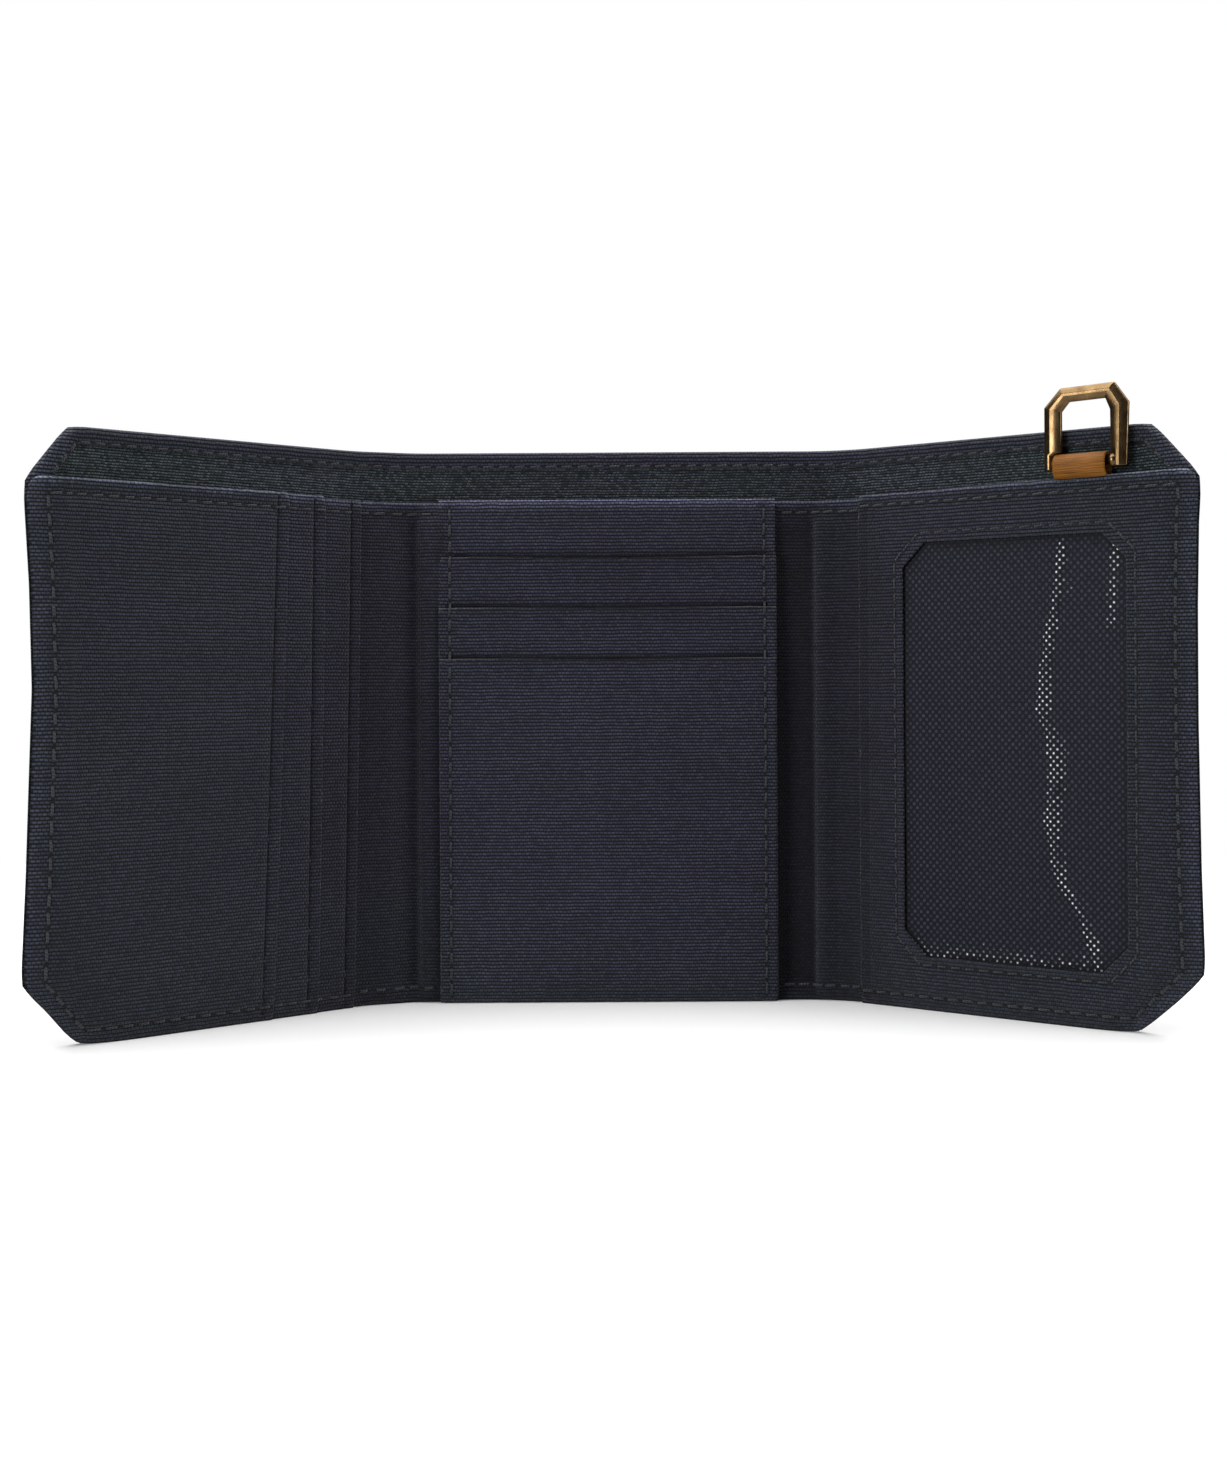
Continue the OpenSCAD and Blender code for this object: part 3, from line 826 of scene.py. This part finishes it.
def mouth_distance(s, z, top, bottom):
    line = bottom + (top - bottom) * z / WALL_TOP
    return (np.abs(s) - line) / math.hypot(1, (top - bottom) / WALL_TOP)


def pocket_front(top, bottom, level, path, groove=0.30):
    def front(s, z):
        d = mouth_distance(s, z, top, bottom)
        hem = 0.14 * (1 - smooth((d - 2.2) / 0.4)) - groove * hump(d - 2.5, 0.26)
        crown = 0.10 * np.sin(np.clip((np.abs(s) - 52) / 68, 0, 1) * math.pi) * np.sin(z / WALL_TOP * math.pi)
        p = np.stack([s, z], 1)
        seam = 0.30 * hump(path_distance(p, path), 0.6)
        lift = 0.16 * hump(np.maximum(d, 0), 3.0) * np.sin(np.clip(z / WALL_TOP, 0, 1) * math.pi)
        ripple = 0.035 * np.sin(z * 0.31 + s * 0.07) * np.sin(s * 0.19 + 1.3)
        return level + hem + crown - seam + lift + ripple
    return front


def capped(front, thickness, low):
    """The back of a layer whose top edge is turned over the wall's top edge."""
    def back(s, z):
        return np.where(z > WALL_TOP + 0.02, low, front(s, z) - thickness)
    return back


def turned_over(s0, s1):
    """Mesh lines for an edge that is turned over the wall's top."""
    return [line([(s0, WALL_TOP + up), (s1, WALL_TOP + up)]) for up in (0.0, 0.06)]


def pocket_shade(n):
    """The tone of one side pocket: painted shade in its hem's groove and a painted shadow beside the mouth of the
    next pocket.
    """
    top, bottom, _, edge_top = POCKETS[n][1:]

    def shade(s, z):
        out = painted_edge_light_and_fold_shade(s, z, edge_top) * (1 - 0.45 * hump(mouth_distance(s, z, top, bottom) - 2.5, 0.3))
        if n < 2:
            out *= 1 - 0.35 * hump(mouth_distance(s, z, *POCKETS[n + 1][1:3]) + 0.25, 0.4)
        return out
    return shade


POCKET_ON = ("bill_wall_left_wing", "side_pocket_rear", "side_pocket_middle")
for n, (nm, top, bottom, level, edge_top) in enumerate(POCKETS):
    outline = wing_outline(LEFT, bottom, edge_top, 0, top)
    seam = seam_path(LEFT, bottom)
    rows = turned_over(-top, -END[LEFT])
    rows += [line([(-bottom - w, 0), (-top - w, WALL_TOP)]) for w in (2.1, 2.3, 2.5, 2.7, 2.9)]
    if n < 2:                            # behind the next pocket the top edge stays below its turned edge
        next_top, next_bottom = POCKETS[n + 1][1:3]
        low, e, notch = WALL_TOP - 0.15, END[LEFT], -next_top - 1.2
        outline = [(-top, edge_top), (notch, edge_top), (notch, low), (2.2 - e, low), (0.7 - e, low - 0.7),
                   (-e, low - 2.2)] + outline[-3:]
        rows += [line([(w - next_bottom, 0), (w - next_top, WALL_TOP)]) for w in (-0.1, 0.25, 0.6, 1.0)]
    else:
        rows.insert(2, (seam, (-0.9, -0.4, 0, 0.4, 0.9), 1.1))
    back = capped(pocket_front(top, bottom, level, seam, 0.0), POCKET_T, CAP_LOW)
    o = panel(f"side_pocket_{nm}", outline, pocket_front(top, bottom, level, seam), back, M["canvas"],
              lines=rows, edge=0.2, shade=pocket_shade(n), on=POCKET_ON[n])
    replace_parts(o, f"side_pocket_{nm}")
    if n == 0:
        across(o, LEFT, 1)
    else:
        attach(o, "left_wing")

# ---------------------------------------------------------------- card stack on the centre panel
ROW_X = STACK_W - 2.2


def stack_level(z):
    return 2.4 + 0.5 * np.sum([z < m for m in SLOTS], axis=0)


def above_mouth(s, z, mouth):
    """1 on the line just above a card slot's mouth, in the layer behind it."""
    line = mouth + 0.4 - 0.45 * (1 - np.clip(s / STACK_W, -1, 1) ** 2)
    return hump(z - line, 0.36) * (1 - smooth((np.abs(s) - ROW_X - 0.3) / 1.2))


def stack_front(level, mouth, nearer=None):
    def front(s, z):
        x = np.clip(s / STACK_W, -1, 1)
        lift = 0.40 * hump(np.maximum(mouth - z, 0), 3.2) * (1 - x ** 6) if mouth < 95 else 0
        lift -= 0.32 * above_mouth(s, z, nearer) if nearer else 0
        rows = hump(np.abs(s) - ROW_X, 0.6)
        crown = 0.12 * (1 - x ** 2) * np.sin(np.clip(z / mouth, 0, 1) * math.pi)
        return level + lift + crown - 0.2 * rows + 0.03 * np.sin(s * 0.21 + z * 0.05) * np.sin(z * 0.17)
    return front


def stack_outline(width, top, sag, low=0.15):
    xs = np.linspace(-width, width, 13 if sag else 2)
    curve = [(float(x), float(top - sag * (1 - (x / width) ** 2))) for x in xs[::-1]]
    return [(-width, low), (width, low)] + curve


# The card stack's tone: painted light over the whole stack, lighter towards the bottom, painted shade on each
# slot's rim, and a painted shadow on the line above the next slot's mouth. The backing keeps the painted highlight
# on its top edge.
def stack_shade(mouth, nearer):
    def shade(s, z):
        if mouth > 95:
            out = painted_edge_light_and_fold_shade(s, z, mouth)
        else:
            line = mouth - 0.45 * (1 - np.clip(s / STACK_W, -1, 1) ** 2)
            out = painted_edge_light_and_fold_shade(s, z, 200) * (1 - 0.5 * smooth((z - line + 0.45) / 0.35))
        return out * (1.60 - 0.0025 * z) * (1 - 0.8 * above_mouth(s, z, nearer) if nearer else 1)
    return shade


def mouth_lines(mouth):
    curve = [(x, mouth - 0.45 * (1 - (x / STACK_W) ** 2)) for x in np.linspace(-STACK_W, STACK_W, 13)]
    return [line([(x, y + up) for x, y in curve], 1.2) for up in (-0.1, 0.12, 0.3, 0.5, 0.7, 1.0)]


rows = [([(x, 1), (x, 97)], (-0.8, -0.35, 0, 0.35, 0.8), 1.2) for x in (-ROW_X, ROW_X)]
front = stack_front(2.4, WALL_TOP + 0.5, SLOTS[0])
caps = turned_over(-STACK_W, STACK_W)
back = capped(front, POCKET_T, CAP_LOW)
o = panel("card_backing", stack_outline(STACK_W, WALL_TOP + 0.5, 0), front, back, M["canvas"],
          lines=rows + caps + mouth_lines(SLOTS[0]), shade=stack_shade(WALL_TOP + 0.5, SLOTS[0]),
          on="bill_wall_center")
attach(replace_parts(o, "card_backing"), "center")
for k, (nm, mouth) in enumerate(zip(("high", "middle", "low"), SLOTS)):
    nearer = (SLOTS + [None])[k + 1]
    front = stack_front(2.9 + 0.5 * k, mouth, nearer)
    o = panel(f"card_slot_{nm}", stack_outline(STACK_W + (0.15, 0.0, -0.15)[k], mouth, 0.45), front,
              lambda s, z, f=front: f(s, z) - POCKET_T, M["canvas"],
              lines=rows + (mouth_lines(nearer) if nearer else []), contours=(1.2, 2.2), edge=0.14,
              shade=stack_shade(mouth, nearer),
              on=("card_backing", "card_slot_high", "card_slot_middle")[k])
    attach(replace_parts(o, f"card_slot_{nm}"), "center")

# ---------------------------------------------------------------- ID pocket on the right wing
ID_S0, WINDOW = 51.3, (61.3, 106.3, 10.4, 88.9)
ID_TOP = WALL_TOP + 0.7
ID_RISE = 0.6 / (END[RIGHT] - ID_S0)


def cut_rectangle(s0, s1, z0, z1, c):
    return [(s0 + c, z0), (s1 - c, z0), (s1, z0 + c), (s1, z1 - c), (s1 - c, z1), (s0 + c, z1), (s0, z1 - c),
            (s0, z0 + c)]


window = cut_rectangle(*WINDOW, 4.7)
grown = cut_rectangle(WINDOW[0] - 1.8, WINDOW[1] + 1.8, WINDOW[2] - 1.8, WINDOW[3] + 1.8, 5.2)
window_row = grown + grown[:1]
id_seam = seam_path(RIGHT, ID_S0, ID_TOP)
mouth_row = [(ID_S0 + 2.2, 1.5), (ID_S0 + 2.2, WALL_TOP - 1)]


def id_front(s, z):
    p = np.stack([s, z], 1)
    seam = 0.15 * hump(path_distance(p, id_seam), 0.65)
    seam += 0.11 * hump(path_distance(p, window_row), 0.6)
    seam += 0.10 * hump(path_distance(p, mouth_row), 0.35)
    lip = 0.10 * hump(edge_distance(p, window), 0.9)
    return 2.8 - seam + lip + 0.03 * np.sin(z * 0.27 + 2) * np.sin(s * 0.17)


# Painted shade on the ID pocket next to the fold, fading out over about 9 mm.
def id_shade(s, z):
    return painted_edge_light_and_fold_shade(s, z, ID_TOP + ID_RISE * (s - ID_S0)) * (0.78 + 0.22 * smooth((s - 51) / 9))


rows = [(id_seam, (-0.9, -0.4, 0, 0.4, 0.9), 1.1), (window_row, (-0.7, -0.3, 0, 0.3, 0.7), 1.1),
        (mouth_row, (-0.4, -0.2, 0, 0.2, 0.4), 1.5)]
rows += turned_over(ID_S0, END[RIGHT])
outline = [(s, z + (ID_RISE * (s - ID_S0) if z > 50 else 0)) for s, z in wing_outline(RIGHT, ID_S0, ID_TOP, 0)]
o = panel("id_pocket_frame", outline, id_front, capped(id_front, POCKET_T, CAP_LOW), M["canvas"],
          holes=[window], lines=rows, shade=id_shade, on="bill_wall_right_wing")
across(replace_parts(o, "id_pocket_frame"), RIGHT, 1)

CREASE = (                               # the film's long crease: height and s
    (9.8, 101.1), (14.4, 99.7), (19, 97.8), (23, 96.0), (25.3, 93.6), (30.5, 92.5), (37.3, 91.6), (44, 92.6),
    (51, 92.4), (56.8, 89.9), (64.8, 90.5), (70.6, 91.4), (76.3, 92.6), (82, 93.2), (88, 94.1),
)


def crease_at(z):
    return np.interp(z, *zip(*CREASE))


def film_front(s, z):
    ridge = 0.34 * hump(s - crease_at(z), 0.8)
    ridge += 0.28 * hump(s - 103.6 - 0.05 * (z - 80), 0.7) * smooth((z - 68) / 8)
    ridge += 0.12 * np.sin(s * 0.34 + z * 0.05) ** 2 * np.sin(np.clip((z - 9) / 80, 0, 1) * math.pi)
    return 2.22 + ridge


creases = [line([(float(crease_at(z) + d), z) for z in range(10, 90, 2)], 1.0)
           for d in (-1.6, -1.1, -0.6, -0.2, 0.2, 0.6, 1.1, 1.6)]
film = [(58.8, 8.2), (108.6, 8.2), (108.6, 91.2), (58.8, 91.2)]
creases += [(window + window[:1], (-0.9, -0.5, -0.15, 0.15, 0.6), 1.2)]
o = panel("id_window_mesh", film, film_front, lambda s, z: film_front(s, z) - 0.12, M["mesh"], step=1.6,
          edge=0.06, lines=creases, on="id_pocket_frame")

# The film's painted light, written for each corner of its faces: painted glints along its creases, and a painted
# shadow along the window's edge.
flat = np.array([tuple(d.uv) for d in o.data.uv_layers["flat"].data])
s, z = ((flat - 1.5) * 100).T
off_crease = s - crease_at(z)
wide = 1.25 + 1.15 * hump(z - 46, 22) + 0.35 * np.sin(z * 0.9)
painted_glint = 0.74 * np.exp(-((off_crease - 0.2) / wide) ** 4) * (0.88 + 0.12 * np.sin(z * 0.55))
painted_glint += 0.22 * hump(off_crease + 0.5 * wide, 0.5)
painted_glint = np.maximum(painted_glint, 0.72 * np.exp(-((s - 103.8 - 0.05 * (z - 80)) / 1.6) ** 4) * smooth((z - 66) / 8))
painted_glint = np.maximum(painted_glint, 0.60 * hump(z - 11.5, 3.2) * smooth((104 - s) / 4))
painted_glint = np.maximum(painted_glint, 0.50 * hump(np.hypot(s - 95.5, (z - 79) * 0.5), 2.2))
painted_frame_shadow = 1 - 0.75 * hump(edge_distance(np.stack([s, z], 1), window), 0.7)
tone = np.stack([painted_glint, painted_frame_shadow], 1).ravel().astype(np.float32)
o.data.uv_layers.new(name="painted_glint").data.foreach_set("uv", tone)
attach(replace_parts(o, "id_window_mesh"), "right_wing")

# ---------------------------------------------------------------- seams inside the edges
def seam_front(s, z):
    return 1.3 - valley(s, z)


for side, nm in NAMES.items():
    e, middle = END[side], MIDDLE[side]
    inner = mirrored(side, [(0, 0.9), (middle, 0.9), (middle, 2.6), (0, 2.6)])
    wing = mirrored(side, [
        (middle, 0.9), (e - BOTTOM_CUT, 0.9), (e - 0.5, BOTTOM_CUT), (e - 0.5, 97.6), (e - 3.2, 97.6),
        (e - 3.2, BOTTOM_CUT + 1.2), (e - BOTTOM_CUT - 1.2, 2.6), (middle, 2.6)])
    for kind, outline, cut in (("inner", inner, [1, 3]), ("wing", wing, [7])):
        if side == LEFT:
            outline = outline[::-1]
            cut = [(len(outline) - 2 - c) % len(outline) for c in cut]
        o = panel(f"edge_seam_{nm}_{kind}", outline, seam_front, const(-0.2), M["canvas"], cut=cut, edge=0.15)
        across(o, side, 0 if kind == "inner" else 1)
        if kind == "wing":
            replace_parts(o, f"bottom_seam_{nm}_wing", f"side_seam_{nm}_wing")
        else:
            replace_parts(o, f"bottom_seam_{nm}_spine", *(["bottom_seam_center"] if side == LEFT else []))

# ---------------------------------------------------------------- rows of stitches
HEM_ROW, WALL_ROW, BASE_ROW = SHELL_TOP - 2.8, WALL_TOP - SEAM_TOP, 3.0
WALL_ROW_END = {LEFT: 50.6, RIGHT: 51.0}
BASE_ROW_END = {LEFT: 51.6, RIGHT: 51.0}

for side, nm in NAMES.items():
    before, after, beside = MIDDLE[side] - 0.2, MIDDLE[side] + 0.2, STACK_W + 1
    corner = END[side] - TOP_CUT - 2.8 * (math.sqrt(2) - 1)
    hem_wing = [(after, HEM_ROW), (corner, HEM_ROW), (corner + 8.2, HEM_ROW - 8.2)]
    hem_inner = [(0.1, HEM_ROW), (before, HEM_ROW)]
    outside_wing = mirrored(side, seam_path(side, after)[1:])
    rows = (                             # kind, half, path, cloth, and the draw of its small differences
        ("hem", "wing", hem_wing, shell_front, 3),
        ("hem", "inner", hem_inner, shell_front, 4),
        ("wall", "inner", [(beside, WALL_ROW), (before, WALL_ROW)], wall_front, 5),
        ("wall", "wing", [(after, WALL_ROW), (WALL_ROW_END[side], WALL_ROW)], wall_front, 6),
        ("base", "inner", [(beside, BASE_ROW), (before, BASE_ROW)], wall_front, 7),
        ("base", "wing", [(after, BASE_ROW), (BASE_ROW_END[side], BASE_ROW)], wall_front, 8),
        ("outside", "wing", outside_wing, shell_back, 9),
        ("outside", "inner", [(before, SEAM_BOTTOM), (0.1, SEAM_BOTTOM)], shell_back, 10),
        ("top_outside", "wing", hem_wing, shell_back, 11),
        ("top_outside", "inner", hem_inner, shell_back, 12),
    )
    for row, half, path, cloth, seed in rows:
        o = stitches(f"stitch_{row}_{nm}_{half}", mirrored(side, path), cloth, seed)
        across(o, side, 0 if half == "inner" else 1)
        if (row, half) == ("wall", "inner"):
            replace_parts(o, f"stitching_{nm}_spine")


def left_height(s, z):
    """The front of the nearest pocket on the left wing, or of the wall where there is none."""
    out = np.zeros(np.shape(s))
    for _, top, bottom, level, _ in POCKETS:
        on = mouth_distance(s, z, top, bottom) > 0
        out = np.where(on, pocket_front(top, bottom, level, seam_path(LEFT, bottom))(s, z), out)
    return np.where(out > 0, out, 2.0)


def stack_row(s, z):
    return stack_level(z) - 0.12


o = stitches("stitch_left_near_top", [(-51.2, WALL_ROW), (-57.8, WALL_ROW)], left_height, 13)
across(o, LEFT, 1)
o = stitches("stitch_left_near_base", [(-52.6, SEAM_BOTTOM), (-58.6, SEAM_BOTTOM)], left_height, 14)
across(o, LEFT, 1)
path = seam_path(LEFT, 58.0)
path[0], path[-1] = (-58.2, path[0][1]), (-59.0, path[-1][1])
o = stitches("stitch_left_wing", path, left_height, 15)
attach(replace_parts(o, "stitching_left_wing"), "left_wing")

o = stitches("stitch_id_edge", id_seam, id_front, 16)
across(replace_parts(o, "stitching_right_wing"), RIGHT, 1)
o = stitches("stitch_id_window", window_row, id_front, 17, pitch=2.9, width=0.32)
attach(o, "right_wing")

for side, nm in NAMES.items():
    o = stitches(f"stitch_stack_{nm}", [(side * ROW_X, 1.2), (side * ROW_X, 97.2)], stack_row, 19, slant=-2)
    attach(o, "center")
    if side == LEFT:
        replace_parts(o, "stitching_center")

# ---------------------------------------------------------------- ring and leather tab
RING_S, PIN_Y, PIN_Z, PIN_R = 98.5, -2.1, 101.6, 1.05
wing_turn = 2 * BEND[RIGHT]


def ring_point(x, y, z):
    """Points given along, across and above the ring's pin, in mm."""
    middle = point(RING_S, 54, -PIN_Y)
    east = middle[0] + (x * math.cos(wing_turn) + y * math.sin(wing_turn)) * MM
    north = middle[1] + (y * math.cos(wing_turn) - x * math.sin(wing_turn)) * MM
    return np.stack([east, north, (PIN_Z + z) * MM], 1)


# The bars run through stations of an outer and an inner point, which share one ridged section.
STATIONS = (
    ((8.2, -1.05), (5.3, -1.05)), ((8.3, 1.65), (5.3, 1.65)), ((8.3, 2.15), (5.2, 2.15)),
    ((8.6, 10.2), (5.1, 9.1)), ((5.9, 13.9), (4.2, 11.2)), ((-4.4, 13.7), (-2.8, 11.1)),
    ((-7.6, 10.4), (-4.3, 9.4)), ((-7.6, 2.15), (-4.3, 2.15)), ((-7.6, 1.65), (-5.5, 1.65)),
    ((-7.6, -1.05), (-5.5, -1.05)),
)
RIDGE = ((0.0, 0.30), (0.13, 0.62), (0.42, 0.98), (0.60, 0.96), (0.88, 0.60), (1.0, 0.32))
RIDGE += tuple((across_bar, -deep) for across_bar, deep in RIDGE[::-1])
points, uv = [], []
for k, (outer, inner) in enumerate(STATIONS):
    outer, inner = np.array(outer), np.array(inner)
    for across_bar, deep in RIDGE:
        x, z = outer + (inner - outer) * across_bar
        points.append((x - 0.3, -deep, z))
        uv.append((k / 10, across_bar))
faces = tube_faces(len(STATIONS), len(RIDGE), turned=True)
ring = add_mesh("ring_bars", ring_point(*np.array(points).T), faces, uv, M["brass"], 20)
bevel = ring.modifiers.new("bevel", "BEVEL")
bevel.width = 0.14 * MM
bevel.segments = 3
bevel.limit_method = "ANGLE"
bevel.angle_limit = math.radians(25)
bevel.harden_normals = True
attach(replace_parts(ring, "ring"), "ring")

PIN = (                                  # place along the pin, and its radius there
    (-6.6, 0.3), (-6.5, 0.7), (-6.0, 0.9), (-5.4, 0.85), (-5.0, 0.75), (4.6, 0.75), (4.75, 0.95), (5.05, 1.2),
    (5.4, 1.3), (5.75, 1.2), (6.05, 0.95), (6.3, 0.7), (6.6, 0.3),
)
PIN_SIDES = 24
turn = np.linspace(0, 2 * math.pi, PIN_SIDES + 1)[:-1]
points = [np.stack([np.full(PIN_SIDES, x), np.cos(turn) * r, np.sin(turn) * r], 1) for x, r in PIN]
points = np.concatenate(points)
faces = tube_faces(len(PIN), PIN_SIDES, turned=True)
o = add_mesh("ring_pin", ring_point(*points.T), faces, points[:, :2] / 100, M["brass"], 60)
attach(o, "ring")


def strap(path, section):
    """Points of a section (across, deep) carried along a path of (x, z) with mitred corners, and the run."""
    path = np.array(path, float)
    points, runs, run = [], [], 0.0
    for i, at in enumerate(path):
        before = at - path[i - 1] if i else path[1] - path[0]
        after = path[i + 1] - at if i < len(path) - 1 else before
        run += np.linalg.norm(before) if i else 0
        before, after = before / np.linalg.norm(before), after / np.linalg.norm(after)
        along = (before + after) / np.linalg.norm(before + after)
        normal = np.array([-along[1], along[0]]) / max(0.3, float(along @ before))
        for offset, deep in section:
            x, z = at + normal * offset
            points.append((deep + TAB_AT, x, z))
            runs.append(run / 100)
    return np.array(points), np.array(runs)


TAB_W, TAB_T, TAB_AT = 10.0, 0.65, -0.75
around_pin = PIN_R + 0.05 + TAB_T / 2
arc = np.linspace(math.radians(190), math.radians(-12), 22)
tab_line = [(1.05, -17.6), (1.05, -11.0), (1.05, -4.4), (0.98, -3.5), (0.5, -2.85), (-0.3, -2.55),
            (-1.0, -2.15), (-1.36, -1.5)]
tab_line += [(around_pin * math.cos(a), around_pin * math.sin(a)) for a in arc]
tab_line += [(1.70, -3.0), (1.74, -5.6), (1.74, -11.0), (1.74, -17.6)]
w, q = TAB_W / 2, TAB_T / 2
section = [(q, -w + 0.2), (q, -w / 3), (q, w / 3), (q, w - 0.2), (q - 0.2, w), (-q + 0.2, w)]
section += [(-x, -y) for x, y in section]
points, runs = strap(tab_line, section)
points = ring_point(*points.T)
along = (points - np.array(point(RING_S))) @ np.array([math.cos(wing_turn), -math.sin(wing_turn), 0]) * 10
tab = add_mesh("leather_tab", points, tube_faces(len(tab_line), len(section)), np.stack([along, runs], 1),
               M["leather"], 60)
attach(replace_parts(tab, "ring_tab"), "right_wing")

# ---------------------------------------------------------------- camera, floor and light
scene = bpy.context.scene
camera = bpy.data.objects.new("camera", bpy.data.cameras.new("camera"))
scene.collection.objects.link(camera)
camera.location = (1.15 * MM, -383.0 * MM, 62.6 * MM)
camera.rotation_euler = (math.radians(90), 0, 0)
camera.rotation_euler.rotate_axis("Z", math.radians(-0.34))
camera.data.lens = 47.8
camera.data.sensor_fit = "VERTICAL"
camera.data.sensor_height = 36
camera.data.shift_y = -0.0332
camera.data.clip_start = 0.01
scene.camera = camera

bpy.ops.mesh.primitive_plane_add(size=1, location=(0, -0.13, 0))
floor = bpy.context.object
floor.name = "floor"
floor.scale = (1.2, 0.86, 1)
floor_material, tree, shader = new_material("floor", 0.9, 0.0, 0.1)
seen = node(tree, "ShaderNodeLightPath", out="Is Camera Ray")
tree.links.new(mix(tree, seen, (0.5, 0.5, 0.5, 1), (0.95, 0.95, 0.95, 1)), shader.inputs["Base Color"])
floor.data.materials.append(floor_material)


def area_light(name, location, height, size, energy):
    """A rectangular light that faces the point at the given height above the frame's origin."""
    data = bpy.data.lights.new(name, "AREA")
    data.shape = "RECTANGLE"
    data.size, data.size_y = size
    data.energy = energy
    obj = bpy.data.objects.new(name, data)
    scene.collection.objects.link(obj)
    obj.location = location
    obj.rotation_euler = (Vector((0, 0, height)) - Vector(location)).to_track_quat("-Z", "Y").to_euler()


area_light("top", (0.0, 0.05, 0.60), 0.05, (1.2, 0.7), 9.0)
area_light("left", (-0.80, -0.72, 0.30), 0.06, (0.36, 0.5), 6.3)
area_light("right", (0.92, -0.53, 0.30), 0.06, (0.36, 0.5), 3.1)
area_light("left_low", (-1.0, -0.33, 0.16), 0.06, (0.25, 0.5), 0.9)
area_light("right_low", (1.0, -0.33, 0.16), 0.06, (0.25, 0.5), 1.8)

world = bpy.data.worlds.new("studio")
scene.world = world
world.use_nodes = True
tree = world.node_tree
dim = tree.nodes["Background"]
dim.inputs["Strength"].default_value = 0.15
white = node(tree, "ShaderNodeBackground", {"Color": (1, 1, 1, 1), "Strength": 1.0})
seen = node(tree, "ShaderNodeLightPath", out="Is Camera Ray")
backdrop = node(tree, "ShaderNodeMixShader", {0: seen, 1: dim.outputs[0], 2: white})
tree.links.new(backdrop, tree.nodes["World Output"].inputs["Surface"])
scene.view_settings.view_transform = "Standard"
